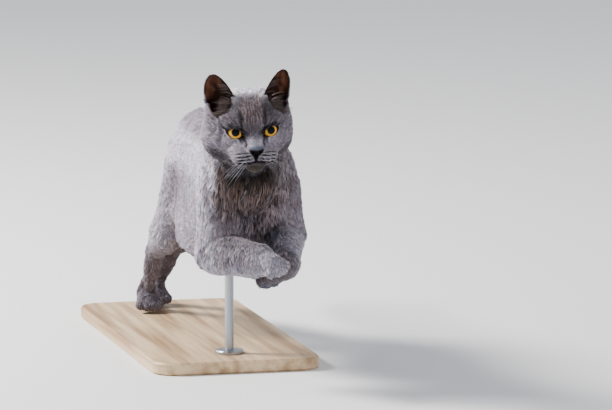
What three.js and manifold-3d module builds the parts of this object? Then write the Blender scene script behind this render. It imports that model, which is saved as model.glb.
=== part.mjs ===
// A life-size short-haired grey cat in mid bound, on a plain display stand.
//
// Both forelegs are tucked under the chest and both hind feet push off from the stand's base.
// Millimetres, +Z up. The cat heads along -Y, so +X is its left side. The origin is at the middle
// of the base's underside. The flesh is one smooth shape, blended from named masses and bones and
// parted by thin plane cuts, so each node is a closed solid a fixed gap away from its neighbours.
import * as THREE from "three";
import { mergeVertices } from "three/addons/utils/BufferGeometryUtils.js";
import Module from "manifold-3d";

const wasm = await Module();
wasm.setup();

// ---------------------------------------------------------------- driving dimensions

const GAP = 0.3; // between neighbouring solids
const RINGS_APART = 13; // along a limb's mesh
const ROUND = { trunk: 24, neck: 20, head: 32, limb: 15, paw: 16, haunch: 18, tail: 10 }; // facets
const SIDE = { left: 1, right: -1 }; // of the cat's middle along X

const BASE = { length: 440, width: 190, height: 14, corner: 24, chamfer: 2, behind: 85 };
const ROD = { radius: 5, ahead: 300, top: 170, flangeRadius: 16, flangeHeight: 4 };

// The head's own frame: x to its right, y forward, z up, from the middle between the eyeballs.
const HEAD_SIDE = { left: -1, right: 1 };
const HEAD = {
  at: [-24, -510, 276],
  turn: 4, // degrees towards its right
  nod: 5, // degrees down
  tilt: 3, // degrees, left side up
};
const EYE = { radius: 10.4, apart: 35.8, lidWidth: 18.5, lidHeight: 11.5, slant: 14, outward: 9 };
// An ear's sheet, from its foot inside the head to its tip, and how it narrows above the skull.
const EAR = { foot: 10, skull: 24, tip: 60, half: 15.2, back: -19, open: 22 };
// How far out each ear stands at the skull, and how much further its tip does.
const EAR_OUT = { left: { middle: 27.5, lean: 11.5 }, right: { middle: 25.4, lean: 10 } };

const v = (x, y, z) => new THREE.Vector3(x, y, z);
const radians = THREE.MathUtils.degToRad;

// ---------------------------------------------------------------- fields
// A field gives a point's distance from a surface, in millimetres, and is negative inside.

// An ellipsoid of half-sizes a, b and c round a middle.
function egg(middle, [a, b, c]) {
  return (x, y, z) => {
    const [i, j, k] = [x - middle[0], y - middle[1], z - middle[2]];
    const near = Math.hypot(i / a, j / b, k / c);
    const steep = Math.hypot(i / (a * a), j / (b * b), k / (c * c));
    return steep < 1e-9 ? -Math.min(a, b, c) : (near * (near - 1)) / steep;
  };
}

// A round cone of flesh from one joint to another.
function bone(from, to, radiusFrom, radiusTo) {
  const a = v(...from);
  const along = v(...to).sub(a);
  const length2 = along.lengthSq();
  const p = v(0, 0, 0);
  return (x, y, z) => {
    p.set(x, y, z).sub(a);
    const share = THREE.MathUtils.clamp(p.dot(along) / length2, 0, 1);
    return p.addScaledVector(along, -share).length() - THREE.MathUtils.lerp(radiusFrom, radiusTo, share);
  };
}

// Masses that flow into each other over a reach of soft millimetres.
function blend(soft, ...fields) {
  return (x, y, z) => {
    let d = fields[0](x, y, z);
    for (let i = 1; i < fields.length; i++) {
      const e = fields[i](x, y, z);
      const h = Math.max(soft - Math.abs(d - e), 0) / soft;
      d = Math.min(d, e) - (h * h * soft) / 4;
    }
    return d;
  };
}

// A mass with another one pressed out of it.
function dent(soft, field, ...dents) {
  return (x, y, z) => {
    let d = field(x, y, z);
    for (const f of dents) {
      const e = -f(x, y, z);
      const h = Math.max(soft - Math.abs(d - e), 0) / soft;
      d = Math.max(d, e) + (h * h * soft) / 4;
    }
    return d;
  };
}

// A joint is [x, y, z, radius of the coat round it]. This is its place alone.
const place = (joint) => joint.slice(0, 3);

// A limb's flesh along its joints.
const limb = (soft, joints) =>
  blend(soft, ...joints.slice(1).map((j, i) => bone(place(joints[i]), place(j), joints[i][3], j[3])));

// A field given in the head's frame, as one in the cat's.
const headFrame = new THREE.Matrix4()
  .makeRotationFromEuler(
    new THREE.Euler(radians(-HEAD.nod), radians(HEAD.tilt), radians(180 - HEAD.turn), "ZYX"),
  )
  .setPosition(...HEAD.at);
const intoHead = headFrame.clone().invert();
function onHead(field) {
  const p = v(0, 0, 0);
  return (x, y, z) => {
    p.set(x, y, z).applyMatrix4(intoHead);
    return field(p.x, p.y, p.z);
  };
}

// ---------------------------------------------------------------- flesh

const both = (make) => [make(1), make(-1)];

const trunkMasses = [
  egg([3, -160, 208], [34, 58, 53]), // pelvis
  egg([2, -215, 198], [42, 72, 60]), // loin
  egg([0, -268, 165], [50, 84, 64]), // belly
  egg([0, -270, 134], [55, 104, 41]), // loose skin under the belly
  egg([0, -335, 186], [54, 82, 72]), // ribs
  bone([0, -345, 221], [2, -200, 222], 37, 37), // back
  egg([0, -372, 236], [27, 52, 34]), // withers
  egg([0, -398, 190], [43, 37, 46]), // breast
  ...both((s) => egg([s * 31, -385, 200], [24, 42, 48])), // shoulder blades
  ...both((s) => egg([2 + s * 17, -130, 190], [21, 32, 36])), // buttocks
];
const trunkFlesh = blend(12, ...trunkMasses);

const neckFlesh = blend(
  14,
  bone([-2, -392, 222], [-18, -458, 266], 48, 41),
  egg([-12, -436, 218], [38, 30, 40]), // ruff at the throat
);

// The head's masses, in its own frame.
const skull = blend(
  8,
  ...both((s) => egg([s * 11, -33, 6], [31, 44, 34])), // cranium
  egg([0, -6, 12], [26, 22, 18]), // forehead
  ...both((s) => bone([s * 35, -24, 6], [s * 36, -27, 19], 13, 11)), // ear roots
  ...both((s) => egg([s * 30, -33, -9], [20.5, 30, 27])), // cheeks
  ...both((s) => egg([s * 20, -7, -12], [17, 19, 16])), // cheekbones
  ...both((s) => egg([s * 11, 4, -17], [14, 17, 14])), // root of the muzzle
  egg([0, -22, -26], [27, 30, 18]), // jaw
  ...both((s) => bone([s * 9.5, 6, 8], [s * 27, -2.5, 12.5], 6.5, 6.5)), // brows
);
const muzzle = blend(
  6,
  bone([0, 0, 4], [0, 19, -11], 9.5, 8.5), // nose bridge
  ...both((s) => egg([s * 11.5, 14, -26], [13, 13.5, 10.5])), // whisker pads
  egg([0, 13, -35], [10.5, 12, 8]), // chin
  egg([0, 25.5, -15.5], [8, 6.5, 5.5]), // nose
);
const orbit = (s) => [(s * EYE.apart) / 2, 0, 0];
const headMass = blend(
  7,
  dent(6, skull, ...both((s) => egg([s * 19, 19, 0], [12, 10, 8]))),
  muzzle,
  ...both((s) => egg(orbit(s), Array(3).fill(EYE.radius + 1.6))), // lids
);

const foreJoints = {
  right: {
    shoulder: [-33, -400, 192, 27],
    elbow: [-38.5, -418, 131.5, 26.5],
    wrist: [-10.5, -484, 132, 17.3],
    knuckles: [-1, -500, 129, 13.5],
  },
  left: {
    shoulder: [31, -396, 192, 27],
    elbow: [40, -396, 142.5, 24],
    wrist: [24.5, -460, 123, 16.2],
    knuckles: [14, -449, 111, 13.5],
  },
};
const hindJoints = {
  right: {
    hip: [-15, -172, 200, 24],
    knee: [-36, -146, 114, 21],
    hock: [-24, -28, 77, 12],
    ball: [-27, 10, 21, 11.5],
    knuckles: [-27, 2, 15, 11],
  },
  left: {
    hip: [21, -172, 200, 24],
    knee: [20, -112, 118, 22],
    hock: [3, 6, 76, 13],
    ball: [-8, 50, 21, 12],
    knuckles: [-8, 42, 15, 11],
  },
};
const TAIL = [
  [0, -118, 230, 18],
  [2, -60, 213, 14.5],
  [9, 0, 195, 13.5],
  [22, 58, 180, 12.5],
  [41, 112, 172, 11],
  [60, 150, 172, 7],
];

// Four toes fanned out ahead of a paw's knuckles. Sole is the way the paw's underside faces.
function paw(knuckles, heading, sole, length) {
  const forward = v(...heading).normalize();
  const down = v(...sole);
  down.addScaledVector(forward, -down.dot(forward)).normalize();
  const across = forward.clone().cross(down);
  const toes = [-1.5, -0.5, 0.5, 1.5].map((n) => {
    const reach = length * (Math.abs(n) > 1 ? 0.72 : 1);
    const root = v(...knuckles).addScaledVector(across, n * 4);
    const tip = v(...knuckles)
      .addScaledVector(across, n * 7.2)
      .addScaledVector(forward, reach)
      .addScaledVector(down, 2.5);
    return bone(root.toArray(), tip.toArray(), 7.5, 6.6);
  });
  return blend(4, ...toes);
}

const lerp = (from, to, share) => from.map((x, k) => x + (to[k] - x) * share);
const direction = (from, to) => v(...place(to)).sub(v(...place(from)));

function foreleg(side) {
  const { shoulder, elbow, wrist, knuckles } = foreJoints[side];
  const upper = limb(12, [shoulder, elbow]);
  const lower = limb(10, [elbow, wrist, knuckles]);
  const heading = direction(wrist, knuckles).toArray();
  const sole = side === "right" ? [0.1, 0.5, -1] : [-0.5, 0.4, -1];
  return { upper, lower: blend(6, lower, paw(place(knuckles), heading, sole, 15)) };
}

function hindleg(side) {
  const { hip, knee, hock, ball, knuckles } = hindJoints[side];
  const s = SIDE[side];
  const upper = blend(
    12,
    limb(12, [hip, knee]),
    egg([3 + s * 27, hip[1] + 10, 162], [20, 40, 50]), // thigh muscle
  );
  const calf = egg(lerp(knee, hock, 0.28), [14, 32, 19]);
  const lower = blend(8, limb(8, [knee, hock]), calf);
  const toes = paw(place(knuckles), [0, -1, -0.3], [0, 0, -1], 14);
  const foot = blend(6, limb(6, [hock, ball, knuckles]), toes);
  return { upper, lower: blend(6, lower, foot) };
}

const fore = { left: foreleg("left"), right: foreleg("right") };
const hind = { left: hindleg("left"), right: hindleg("right") };
const tailFlesh = limb(3, TAIL);
const bodyFlesh = blend(
  14,
  trunkFlesh,
  neckFlesh,
  fore.left.upper,
  fore.right.upper,
  hind.left.upper,
  hind.right.upper,
  tailFlesh,
);
const wholeFlesh = blend(12, bodyFlesh, onHead(headMass));
const legFlesh = (leg) => {
  const joined = blend(10, leg.upper, leg.lower);
  return (x, y, z) => Math.min(bodyFlesh(x, y, z), joined(x, y, z));
};

// ---------------------------------------------------------------- meshing

// How far a field's surface is from a point inside it, along a direction.
function rayLength(field, from, way, reach) {
  const p = v(0, 0, 0);
  const outside = (t) => field(...p.copy(from).addScaledVector(way, t).toArray()) > 0;
  const step = 2;
  let t = step;
  while (t < reach && !outside(t)) t += step;
  if (t >= reach) return reach;
  let [low, high] = [t - step, t];
  for (let round = 0; round < 8; round++) {
    const middle = (low + high) / 2;
    if (outside(middle)) high = middle;
    else low = middle;
  }
  return low;
}

// The closed surface of a field as seen from a straight core inside it: rings of rays square to
// the core along its length, and fans of rays round its two ends.
function wrapped(field, from, to, around, along, reach = 80) {
  const [a, b] = [v(...from), v(...to)];
  const axis = b.clone().sub(a).normalize();
  const side = axis.clone().cross(Math.abs(axis.z) > 0.8 ? v(0, 1, 0) : v(0, 0, 1)).normalize();
  const third = axis.clone().cross(side);
  const fan = Math.round(around / 4);
  const rings = [];
  for (let i = 1; i < fan; i++) rings.push([a, i / fan - 1]);
  for (let i = 0; i <= along; i++) rings.push([a.clone().lerp(b, i / along), 0]);
  for (let i = 1; i < fan; i++) rings.push([b, i / fan]);
  const points = [];
  const put = (start, way) =>
    points.push(start.clone().addScaledVector(way, rayLength(field, start, way, reach)));
  put(a, axis.clone().negate());
  for (const [start, lean] of rings) {
    const [out, up] = [Math.cos((lean * Math.PI) / 2), Math.sin((lean * Math.PI) / 2)];
    for (let i = 0; i < around; i++) {
      const angle = (i / around) * 2 * Math.PI;
      const way = axis.clone().multiplyScalar(up);
      way.addScaledVector(side, Math.cos(angle) * out).addScaledVector(third, Math.sin(angle) * out);
      put(start, way);
    }
  }
  put(b, axis);
  const id = (ring, i) => 1 + ring * around + (i % around);
  const [last, end] = [rings.length - 1, points.length - 1];
  const faces = [];
  for (let i = 0; i < around; i++) {
    faces.push(0, id(0, i + 1), id(0, i));
    faces.push(end, id(last, i), id(last, i + 1));
    for (let ring = 0; ring < last; ring++) {
      const corners = [id(ring, i), id(ring, i + 1), id(ring + 1, i + 1), id(ring + 1, i)];
      faces.push(...shorterSplit(points, corners));
    }
  }
  return meshed(points, faces);
}

function meshed(points, faces) {
  const positions = points.flatMap((p) => p.toArray());
  const geometry = new THREE.BufferGeometry();
  geometry.setAttribute("position", new THREE.Float32BufferAttribute(positions, 3));
  return geometry.setIndex(faces);
}

// A quad as two triangles, split along its shorter diagonal.
function shorterSplit(points, [a, b, c, d]) {
  const across = points[a].distanceTo(points[c]) <= points[b].distanceTo(points[d]);
  return across ? [a, b, c, a, c, d] : [b, c, d, b, d, a];
}

// ---------------------------------------------------------------- solids

function solid(geometry) {
  const bare = geometry.clone();
  bare.deleteAttribute("normal");
  bare.deleteAttribute("uv");
  const merged = mergeVertices(bare, 1e-4);
  return new wasm.Manifold(
    new wasm.Mesh({
      numProp: 3,
      vertProperties: new Float32Array(merged.attributes.position.array),
      triVerts: new Uint32Array(merged.index.array),
    }),
  );
}

// Everything on the side of a plane that its normal points to, from shift millimetres along it.
const FAR = 1200;
function beyond({ point, normal }, shift = 0) {
  const n = v(...normal).normalize();
  const turn = new THREE.Quaternion().setFromUnitVectors(v(0, 0, 1), n);
  const box = new THREE.BoxGeometry(FAR, FAR, FAR).applyQuaternion(turn);
  const middle = v(...point).addScaledVector(n, FAR / 2 + shift);
  box.translate(middle.x, middle.y, middle.z);
  return solid(box);
}
const reversed = ({ point, normal }) => ({ point, normal: normal.map((x) => -x) });

// The convex room in front of all these planes, its walls moved out by grow.
const room = (planes, grow = 0) =>
  planes.map((plane) => beyond(plane, -grow)).reduce((all, half) => all.intersect(half));

// The plane that halves a limb's bend at a joint, facing the limb's far end.
function jointPlane(before, at, after) {
  const normal = direction(before, at).normalize().add(direction(at, after).normalize());
  return { point: place(at), normal: normal.toArray() };
}

// The largest body of a solid, without crumbs that a cut may leave.
const largest = (made) => made.decompose().sort((a, b) => b.volume() - a.volume())[0];

function geometryOf(made) {
  const mesh = made.getMesh();
  const count = mesh.numVert;
  const positions = new Float32Array(count * 3);
  for (let i = 0; i < count; i++)
    positions.set(mesh.vertProperties.subarray(i * mesh.numProp, i * mesh.numProp + 3), i * 3);
  const geometry = new THREE.BufferGeometry();
  geometry.setAttribute("position", new THREE.BufferAttribute(positions, 3));
  geometry.setIndex(new THREE.BufferAttribute(new Uint32Array(mesh.triVerts), 1));
  geometry.computeVertexNormals();
  return geometry;
}

// A field as a solid round a core between two joints, inside its cuts.
function piece(field, from, to, around, planes, reach) {
  const along = Math.max(2, Math.round(direction(from, to).length() / RINGS_APART));
  const whole = solid(wrapped(field, place(from), place(to), around, along, reach));
  return largest(whole.intersect(room(planes, -GAP / 2)));
}

// ---------------------------------------------------------------- cuts

const neckCut = { point: [-15, -452, 262], normal: [0.12, 1, -0.42] }; // head on the far side
const neckRoot = { point: [-3, -402, 226], normal: [0.1, 1, -0.62] }; // neck on the far side
const tailCut = { point: [0, -97, 224], normal: [0, 1, -0.3] };
const hipRoom = (side) => [
  { point: [SIDE[side] * 15, -160, 150], normal: [SIDE[side], 0, -0.28] },
  { point: [0, -215, 150], normal: [0, 1, -0.18] },
  { point: [SIDE[side] * 40, -165, 226], normal: [SIDE[side] * 0.35, 0, -1] },
  { point: [0, -190, 113], normal: [0, 1, 1] },
];
const shoulderRoom = (side) => [
  { point: [SIDE[side] * 22, -395, 180], normal: [SIDE[side], 0, -0.2] },
  { point: [0, -357, 170], normal: [0, -1, -0.16] },
  { point: [SIDE[side] * 40, -395, 226], normal: [SIDE[side] * 0.35, 0, -1] },
  { point: [0, -400, 103], normal: [0, -0.58, 0.81] },
  neckRoot,
];

const ground = { point: [0, 0, GAP / 2], normal: [0, 0, 1] }; // the toes stand just clear of the base

function foreSolids(side) {
  const { shoulder, elbow, wrist, knuckles } = foreJoints[side];
  const field = legFlesh(fore[side]);
  const atElbow = jointPlane(shoulder, elbow, wrist);
  const atWrist = jointPlane(elbow, wrist, knuckles);
  const { lower } = fore[side];
  return {
    upper_arm: piece(field, shoulder, elbow, ROUND.haunch, [...shoulderRoom(side), reversed(atElbow)]),
    forearm: piece(lower, elbow, wrist, ROUND.limb, [atElbow, reversed(atWrist)]),
    forepaw: piece(lower, wrist, knuckles, ROUND.paw, [atWrist]),
  };
}

function hindSolids(side) {
  const { hip, knee, hock, ball, knuckles } = hindJoints[side];
  const field = legFlesh(hind[side]);
  const atKnee = jointPlane(hip, knee, hock);
  const atHock = jointPlane(knee, hock, ball);
  const atBall = { point: place(lerp(hock, ball, 0.72)), normal: direction(hock, ball).toArray() };
  const { lower } = hind[side];
  return {
    thigh: piece(field, hip, knee, ROUND.haunch, [...hipRoom(side), reversed(atKnee)]),
    shank: piece(lower, knee, hock, ROUND.limb, [atKnee, reversed(atHock)]),
    metatarsus: piece(lower, hock, ball, ROUND.limb, [atHock, reversed(atBall)]),
    hindpaw: piece(lower, ball, knuckles, ROUND.paw, [atBall, ground]),
  };
}

// ---------------------------------------------------------------- head

// The opening between the lids: an almond prism along the eye's sight line, in the head's frame.
function lidOpening(s) {
  const [w, h] = [EYE.lidWidth / 2, EYE.lidHeight / 2];
  const almond = new THREE.Shape();
  almond.moveTo(-w, 0);
  almond.bezierCurveTo(-w * 0.45, h * 0.92, w * 0.35, h * 1.1, w, 0);
  almond.bezierCurveTo(w * 0.45, -h * 1.3, -w * 0.5, -h * 1.5, -w, 0);
  const depth = 40;
  const prism = new THREE.ExtrudeGeometry(almond, { depth, bevelEnabled: false, curveSegments: 6 });
  prism.translate(0, 0, -depth).rotateZ(radians(EYE.slant)).rotateX(Math.PI / 2);
  prism.rotateZ(radians(-EYE.outward)).translate(...orbit(1));
  return (s > 0 ? prism : mirrored(prism)).applyMatrix4(headFrame);
}

// A geometry mirrored across the head's middle, with its faces still pointing out.
function mirrored(geometry) {
  const flat = geometry.index ? geometry.toNonIndexed() : geometry.clone();
  const p = flat.attributes.position;
  for (let i = 0; i < p.count; i += 3) {
    const corners = [0, 2, 1].map((k) => v(0, 0, 0).fromBufferAttribute(p, i + k));
    corners.forEach((c, k) => p.setXYZ(i + k, -c.x, c.y, c.z));
  }
  return flat;
}

// An ear is a cupped sheet, open to the front. This is the place on it at a share of the way
// across, from its inner rim to its outer one, and up, on its hollow side or on its back.
function earPoint(side, across, up, back) {
  const z = EAR.foot + (EAR.tip - EAR.foot) * up;
  const rise = THREE.MathUtils.clamp((z - EAR.skull) / (EAR.tip - EAR.skull), 0, 1);
  const half = EAR.half * (1 - rise ** 2.1) ** 0.62 + 1;
  const wall = back * (2.6 - 1.4 * rise);
  const bend = radians(80) * (2 * across - 1);
  const [x, y] = [Math.sin(bend) * (half + wall), -Math.cos(bend) * (half * 1.05 + wall)];
  const turn = radians(EAR.open);
  const outward = x * Math.cos(turn) - y * Math.sin(turn);
  const forward = -x * Math.sin(turn) + y * Math.cos(turn);
  const { middle, lean } = EAR_OUT[side];
  return v(middle + lean * rise + outward, EAR.back + forward, z);
}

function earGeometry(side) {
  const [across, up] = [7, 6];
  const points = [];
  for (let j = 0; j <= up; j++)
    for (const back of [0, 1])
      for (let i = 0; i <= across; i++) points.push(earPoint(side, i / across, j / up, back));
  const id = (i, j, back) => (j * 2 + back) * (across + 1) + i;
  const faces = [];
  const quad = (a, b, c, d) => faces.push(a, c, b, a, d, c);
  for (let j = 0; j < up; j++) {
    for (let i = 0; i < across; i++) {
      quad(id(i, j, 0), id(i + 1, j, 0), id(i + 1, j + 1, 0), id(i, j + 1, 0));
      quad(id(i, j, 1), id(i, j + 1, 1), id(i + 1, j + 1, 1), id(i + 1, j, 1));
    }
    quad(id(0, j, 0), id(0, j + 1, 0), id(0, j + 1, 1), id(0, j, 1));
    quad(id(across, j, 0), id(across, j, 1), id(across, j + 1, 1), id(across, j + 1, 0));
  }
  for (let i = 0; i < across; i++) {
    quad(id(i, 0, 0), id(i, 0, 1), id(i + 1, 0, 1), id(i + 1, 0, 0));
    quad(id(i, up, 0), id(i + 1, up, 0), id(i + 1, up, 1), id(i, up, 1));
  }
  const ear = meshed(points, faces);
  return (HEAD_SIDE[side] > 0 ? ear : mirrored(ear)).applyMatrix4(headFrame);
}

function eyeball(s, grow = 0) {
  const ball = new THREE.SphereGeometry(EYE.radius + grow, 16, 10);
  ball.translate(...orbit(s)).applyMatrix4(headFrame);
  return solid(ball);
}

function headSolids() {
  const [back, front] = [v(0, -34, 0), v(0, 6, -10)].map((p) => p.applyMatrix4(headFrame).toArray());
  const whole = (grow) => {
    const field = (x, y, z) => wholeFlesh(x, y, z) - grow;
    return solid(wrapped(field, back, front, ROUND.head, 6));
  };
  const covered = whole(GAP);
  let head = whole(0).intersect(beyond(reversed(neckCut), GAP / 2));
  const ears = {};
  for (const side of ["left", "right"]) {
    const s = HEAD_SIDE[side];
    head = head.subtract(eyeball(s, GAP)).subtract(solid(lidOpening(s)));
    ears[side] = largest(solid(earGeometry(side)).subtract(covered));
  }
  return { head: largest(head), ears };
}

// ---------------------------------------------------------------- trunk, neck and tail

function trunkSolid() {
  const core = [
    [0, -372, 190],
    [0, -165, 205],
  ];
  let made = solid(wrapped(bodyFlesh, ...core, ROUND.trunk, 13, 110));
  made = made.intersect(room([neckRoot, reversed(tailCut)], -GAP / 2));
  for (const side of ["left", "right"]) {
    const { elbow, wrist } = foreJoints[side];
    const grown = (x, y, z) => fore[side].lower(x, y, z) - GAP;
    const forearm = wrapped(grown, place(elbow), place(wrist), ROUND.limb, 6);
    made = made.subtract(room(hipRoom(side), GAP / 2));
    made = made.subtract(room(shoulderRoom(side), GAP / 2));
    made = made.subtract(solid(forearm));
  }
  return largest(made);
}

const neckSolid = () =>
  piece(wholeFlesh, [-2, -400, 222], [-17, -452, 260], ROUND.neck, [neckCut, reversed(neckRoot)]);

function tailSolids() {
  const cut = (n) => jointPlane(TAIL[n - 1], TAIL[n], TAIL[n + 1]);
  return {
    root: piece(bodyFlesh, TAIL[0], TAIL[2], ROUND.tail, [tailCut, reversed(cut(2))], 30),
    middle: piece(tailFlesh, TAIL[2], TAIL[4], ROUND.tail, [cut(2), reversed(cut(4))], 30),
    tip: piece(tailFlesh, TAIL[4], TAIL[5], ROUND.tail, [cut(4)], 30),
  };
}

// ---------------------------------------------------------------- stand

function standBase() {
  const { length, width, height, corner, chamfer } = BASE;
  const [x, y] = [width / 2 - chamfer, length / 2 - chamfer];
  const outline = new THREE.Shape();
  outline.moveTo(-x + corner, -y);
  outline.lineTo(x - corner, -y);
  outline.absarc(x - corner, -y + corner, corner, -Math.PI / 2, 0);
  outline.absarc(x - corner, y - corner, corner, 0, Math.PI / 2);
  outline.absarc(-x + corner, y - corner, corner, Math.PI / 2, Math.PI);
  outline.absarc(-x + corner, -y + corner, corner, Math.PI, 1.5 * Math.PI);
  const slab = new THREE.ExtrudeGeometry(outline, {
    depth: height - 2 * chamfer,
    bevelThickness: chamfer,
    bevelSize: chamfer,
    bevelSegments: 1,
    curveSegments: 4,
  });
  return slab.translate(0, 0, chamfer);
}

// The rod stands in its flange, and its top follows the belly that it holds.
function standRod() {
  const { radius, ahead, top, flangeRadius, flangeHeight } = ROD;
  const profile = [
    [0, GAP],
    [flangeRadius, GAP],
    [flangeRadius, flangeHeight - 1],
    [flangeRadius - 1, flangeHeight],
    [radius, flangeHeight],
    [radius, top],
    [0, top],
  ].map(([r, h]) => new THREE.Vector2(r, h));
  const lathe = new THREE.LatheGeometry(profile, 18).rotateX(Math.PI / 2).translate(0, -ahead, 0);
  const grown = (x, y, z) => bodyFlesh(x, y, z) - GAP;
  const body = wrapped(grown, [0, -ahead - 40, 180], [0, -ahead + 40, 180], 24, 8, 120);
  return largest(solid(lathe).subtract(solid(body)));
}

// ---------------------------------------------------------------- the model

const MATERIALS = {
  coat: new THREE.MeshStandardMaterial({ color: 0x6d6b72, roughness: 0.85, metalness: 0 }),
  ear: new THREE.MeshStandardMaterial({ color: 0x4a3f42, roughness: 0.8, metalness: 0 }),
  eye: new THREE.MeshStandardMaterial({ color: 0xc58a25, roughness: 0.15, metalness: 0 }),
  board: new THREE.MeshStandardMaterial({ color: 0xb99b6f, roughness: 0.55, metalness: 0 }),
  steel: new THREE.MeshStandardMaterial({ color: 0x2b2c2e, roughness: 0.4, metalness: 0.9 }),
};

const cat = new THREE.Group();
cat.position.set(0, BASE.length / 2 - BASE.behind, BASE.height);

function add(name, made, material, group = cat) {
  const geometry = made instanceof THREE.BufferGeometry ? made : geometryOf(made);
  const mesh = new THREE.Mesh(geometry, MATERIALS[material]);
  mesh.name = name;
  group.add(mesh);
}

const { head, ears } = headSolids();
add("head", head, "coat");
add("neck", neckSolid(), "coat");
add("trunk", trunkSolid(), "coat");
for (const [name, made] of Object.entries(tailSolids())) add(`tail_${name}`, made, "coat");
for (const side of ["left", "right"]) {
  add(`ear_${side}`, ears[side], "ear");
  add(`eye_${side}`, eyeball(HEAD_SIDE[side]), "eye");
  const leg = { ...foreSolids(side), ...hindSolids(side) };
  for (const [name, made] of Object.entries(leg)) add(`${name}_${side}`, made, "coat");
}
add("stand_rod", standRod(), "steel");

const model = new THREE.Group();
model.add(cat);
add("stand_base", standBase(), "board", model);

export default model;
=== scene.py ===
"""A still, life-size cat on a display stand: one skin, a coat of tufts over it, eyes, whiskers, claws
and the stand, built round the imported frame. Lengths are in millimetres until a mesh is made."""

import math

import bmesh
import bpy
import numpy as np
from mathutils import Matrix, Vector
from mathutils.bvhtree import BVHTree
from mathutils.kdtree import KDTree


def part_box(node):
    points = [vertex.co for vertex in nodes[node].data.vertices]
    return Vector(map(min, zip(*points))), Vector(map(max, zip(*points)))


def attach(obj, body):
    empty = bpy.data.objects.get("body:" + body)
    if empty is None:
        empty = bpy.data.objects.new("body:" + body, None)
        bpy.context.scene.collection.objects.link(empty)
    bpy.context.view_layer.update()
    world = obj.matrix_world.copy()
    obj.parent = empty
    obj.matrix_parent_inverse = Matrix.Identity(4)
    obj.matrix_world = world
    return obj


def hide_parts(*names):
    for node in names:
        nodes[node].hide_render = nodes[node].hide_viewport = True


MM = 0.001  # a millimetre, in Blender's metres
UP = np.array([0.0, 0.0, 1.0])

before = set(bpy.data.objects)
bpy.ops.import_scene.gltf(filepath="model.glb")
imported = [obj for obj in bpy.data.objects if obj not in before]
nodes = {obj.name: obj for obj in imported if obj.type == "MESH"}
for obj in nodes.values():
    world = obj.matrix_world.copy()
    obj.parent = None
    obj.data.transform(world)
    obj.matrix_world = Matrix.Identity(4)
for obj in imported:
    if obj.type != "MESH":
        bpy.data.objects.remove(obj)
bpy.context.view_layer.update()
random = np.random.default_rng(11)

SIDES = {"left": -1, "right": 1}  # of the head's own x
FLESH = [n for n in nodes if not n.startswith(("eye_", "ear_", "stand_"))]

# ---- small helpers


def norms(vectors):
    return np.linalg.norm(vectors, axis=1)


def unit(vectors):
    return vectors / np.maximum(np.linalg.norm(vectors, axis=-1, keepdims=True), 1e-9)


def rise(start, end, value):
    """0 at start and 1 at end, turning smoothly between them."""
    share = np.clip((value - start) / (end - start), 0, 1)
    return share * share * (3 - 2 * share)


def mix(one, other, share):
    return one + (other - one) * share


def column(values):
    return np.asarray(values)[:, None]


def over(rows, *layers):
    """Rows with others laid over them in turn, each as strongly as each point says."""
    for layer, strength in layers:
        rows = mix(rows, layer, column(strength))
    return rows


def turned(axis, degrees):
    return np.array(Matrix.Rotation(math.radians(degrees), 3, axis))


def corners(node):
    """The low and high corners of a CAD node's box, in millimetres."""
    return (np.array(corner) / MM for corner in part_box(node))


def middle(node):
    low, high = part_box(node)
    return (np.array(low) + np.array(high)) / 2 / MM


# ---- the head's own frame

# x to the head's right, y forward and z up, from the middle between the eyeballs.
HEAD_TURN, HEAD_TILT, HEAD_NOD = 4, 3, 5  # degrees: to its right, left side up, down
EYE_RADIUS = 10.4
EYE_MIDDLES = {side: middle(f"eye_{side}") for side in SIDES}
HEAD_MIDDLE = (EYE_MIDDLES["left"] + EYE_MIDDLES["right"]) / 2
EYES_APART = np.linalg.norm(EYE_MIDDLES["left"] - EYE_MIDDLES["right"])
HEAD_AXES = np.array(
    Matrix.Rotation(math.radians(180 - HEAD_TURN), 3, "Z")
    @ Matrix.Rotation(math.radians(HEAD_TILT), 3, "Y")
    @ Matrix.Rotation(math.radians(-HEAD_NOD), 3, "X")
)


def eye_centre(s):
    """The middle of an eyeball in the head's own frame."""
    return np.array([s * EYES_APART / 2, 0, 0])


def to_head(points):
    return (points - HEAD_MIDDLE) @ HEAD_AXES


def from_head(points):
    return np.asarray(points, float) @ HEAD_AXES.T + HEAD_MIDDLE


# ---- fields
# A field gives the distance of each point from a surface, and is negative inside.


def egg(centre, sizes):
    centre, sizes = np.array(centre, float), np.array(sizes, float)

    def field(p):
        q = (p - centre) / sizes
        near = norms(q)
        return near * (near - 1) / np.maximum(norms(q / sizes), 1e-9)

    return field


def bone(start, end, start_radius, end_radius):
    start, along = np.array(start, float), np.array(end, float) - np.array(start, float)

    def field(p):
        q = p - start
        share = np.clip(q @ along / (along @ along), 0, 1)
        away = norms(q - column(share) * along)
        return away - mix(start_radius, end_radius, share)

    return field


def blend(soft, *fields):
    """Masses that flow into each other over a reach of soft millimetres."""

    def field(p):
        d = fields[0](p)
        for other in fields[1:]:
            e = other(p)
            h = np.maximum(soft - abs(d - e), 0) / soft
            d = np.minimum(d, e) - h * h * soft / 4
        return d

    return field


def dent(soft, whole, *dents):
    """A mass with others pressed out of it."""

    def field(p):
        d = whole(p)
        for other in dents:
            e = -other(p)
            h = np.maximum(soft - abs(d - e), 0) / soft
            d = np.maximum(d, e) + h * h * soft / 4
        return d

    return field


def both(make):
    """What it makes for the left side and the right."""
    return [make(s) for s in SIDES.values()]


# ---- meshes as arrays


def edges_of(faces, count):
    pairs = np.concatenate([faces[:, [0, 1]], faces[:, [1, 2]], faces[:, [2, 0]]]).astype(np.int64)
    pairs.sort(axis=1)
    keys = np.unique(pairs[:, 0] * count + pairs[:, 1])
    return np.stack([keys // count, keys % count], axis=1)


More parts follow.
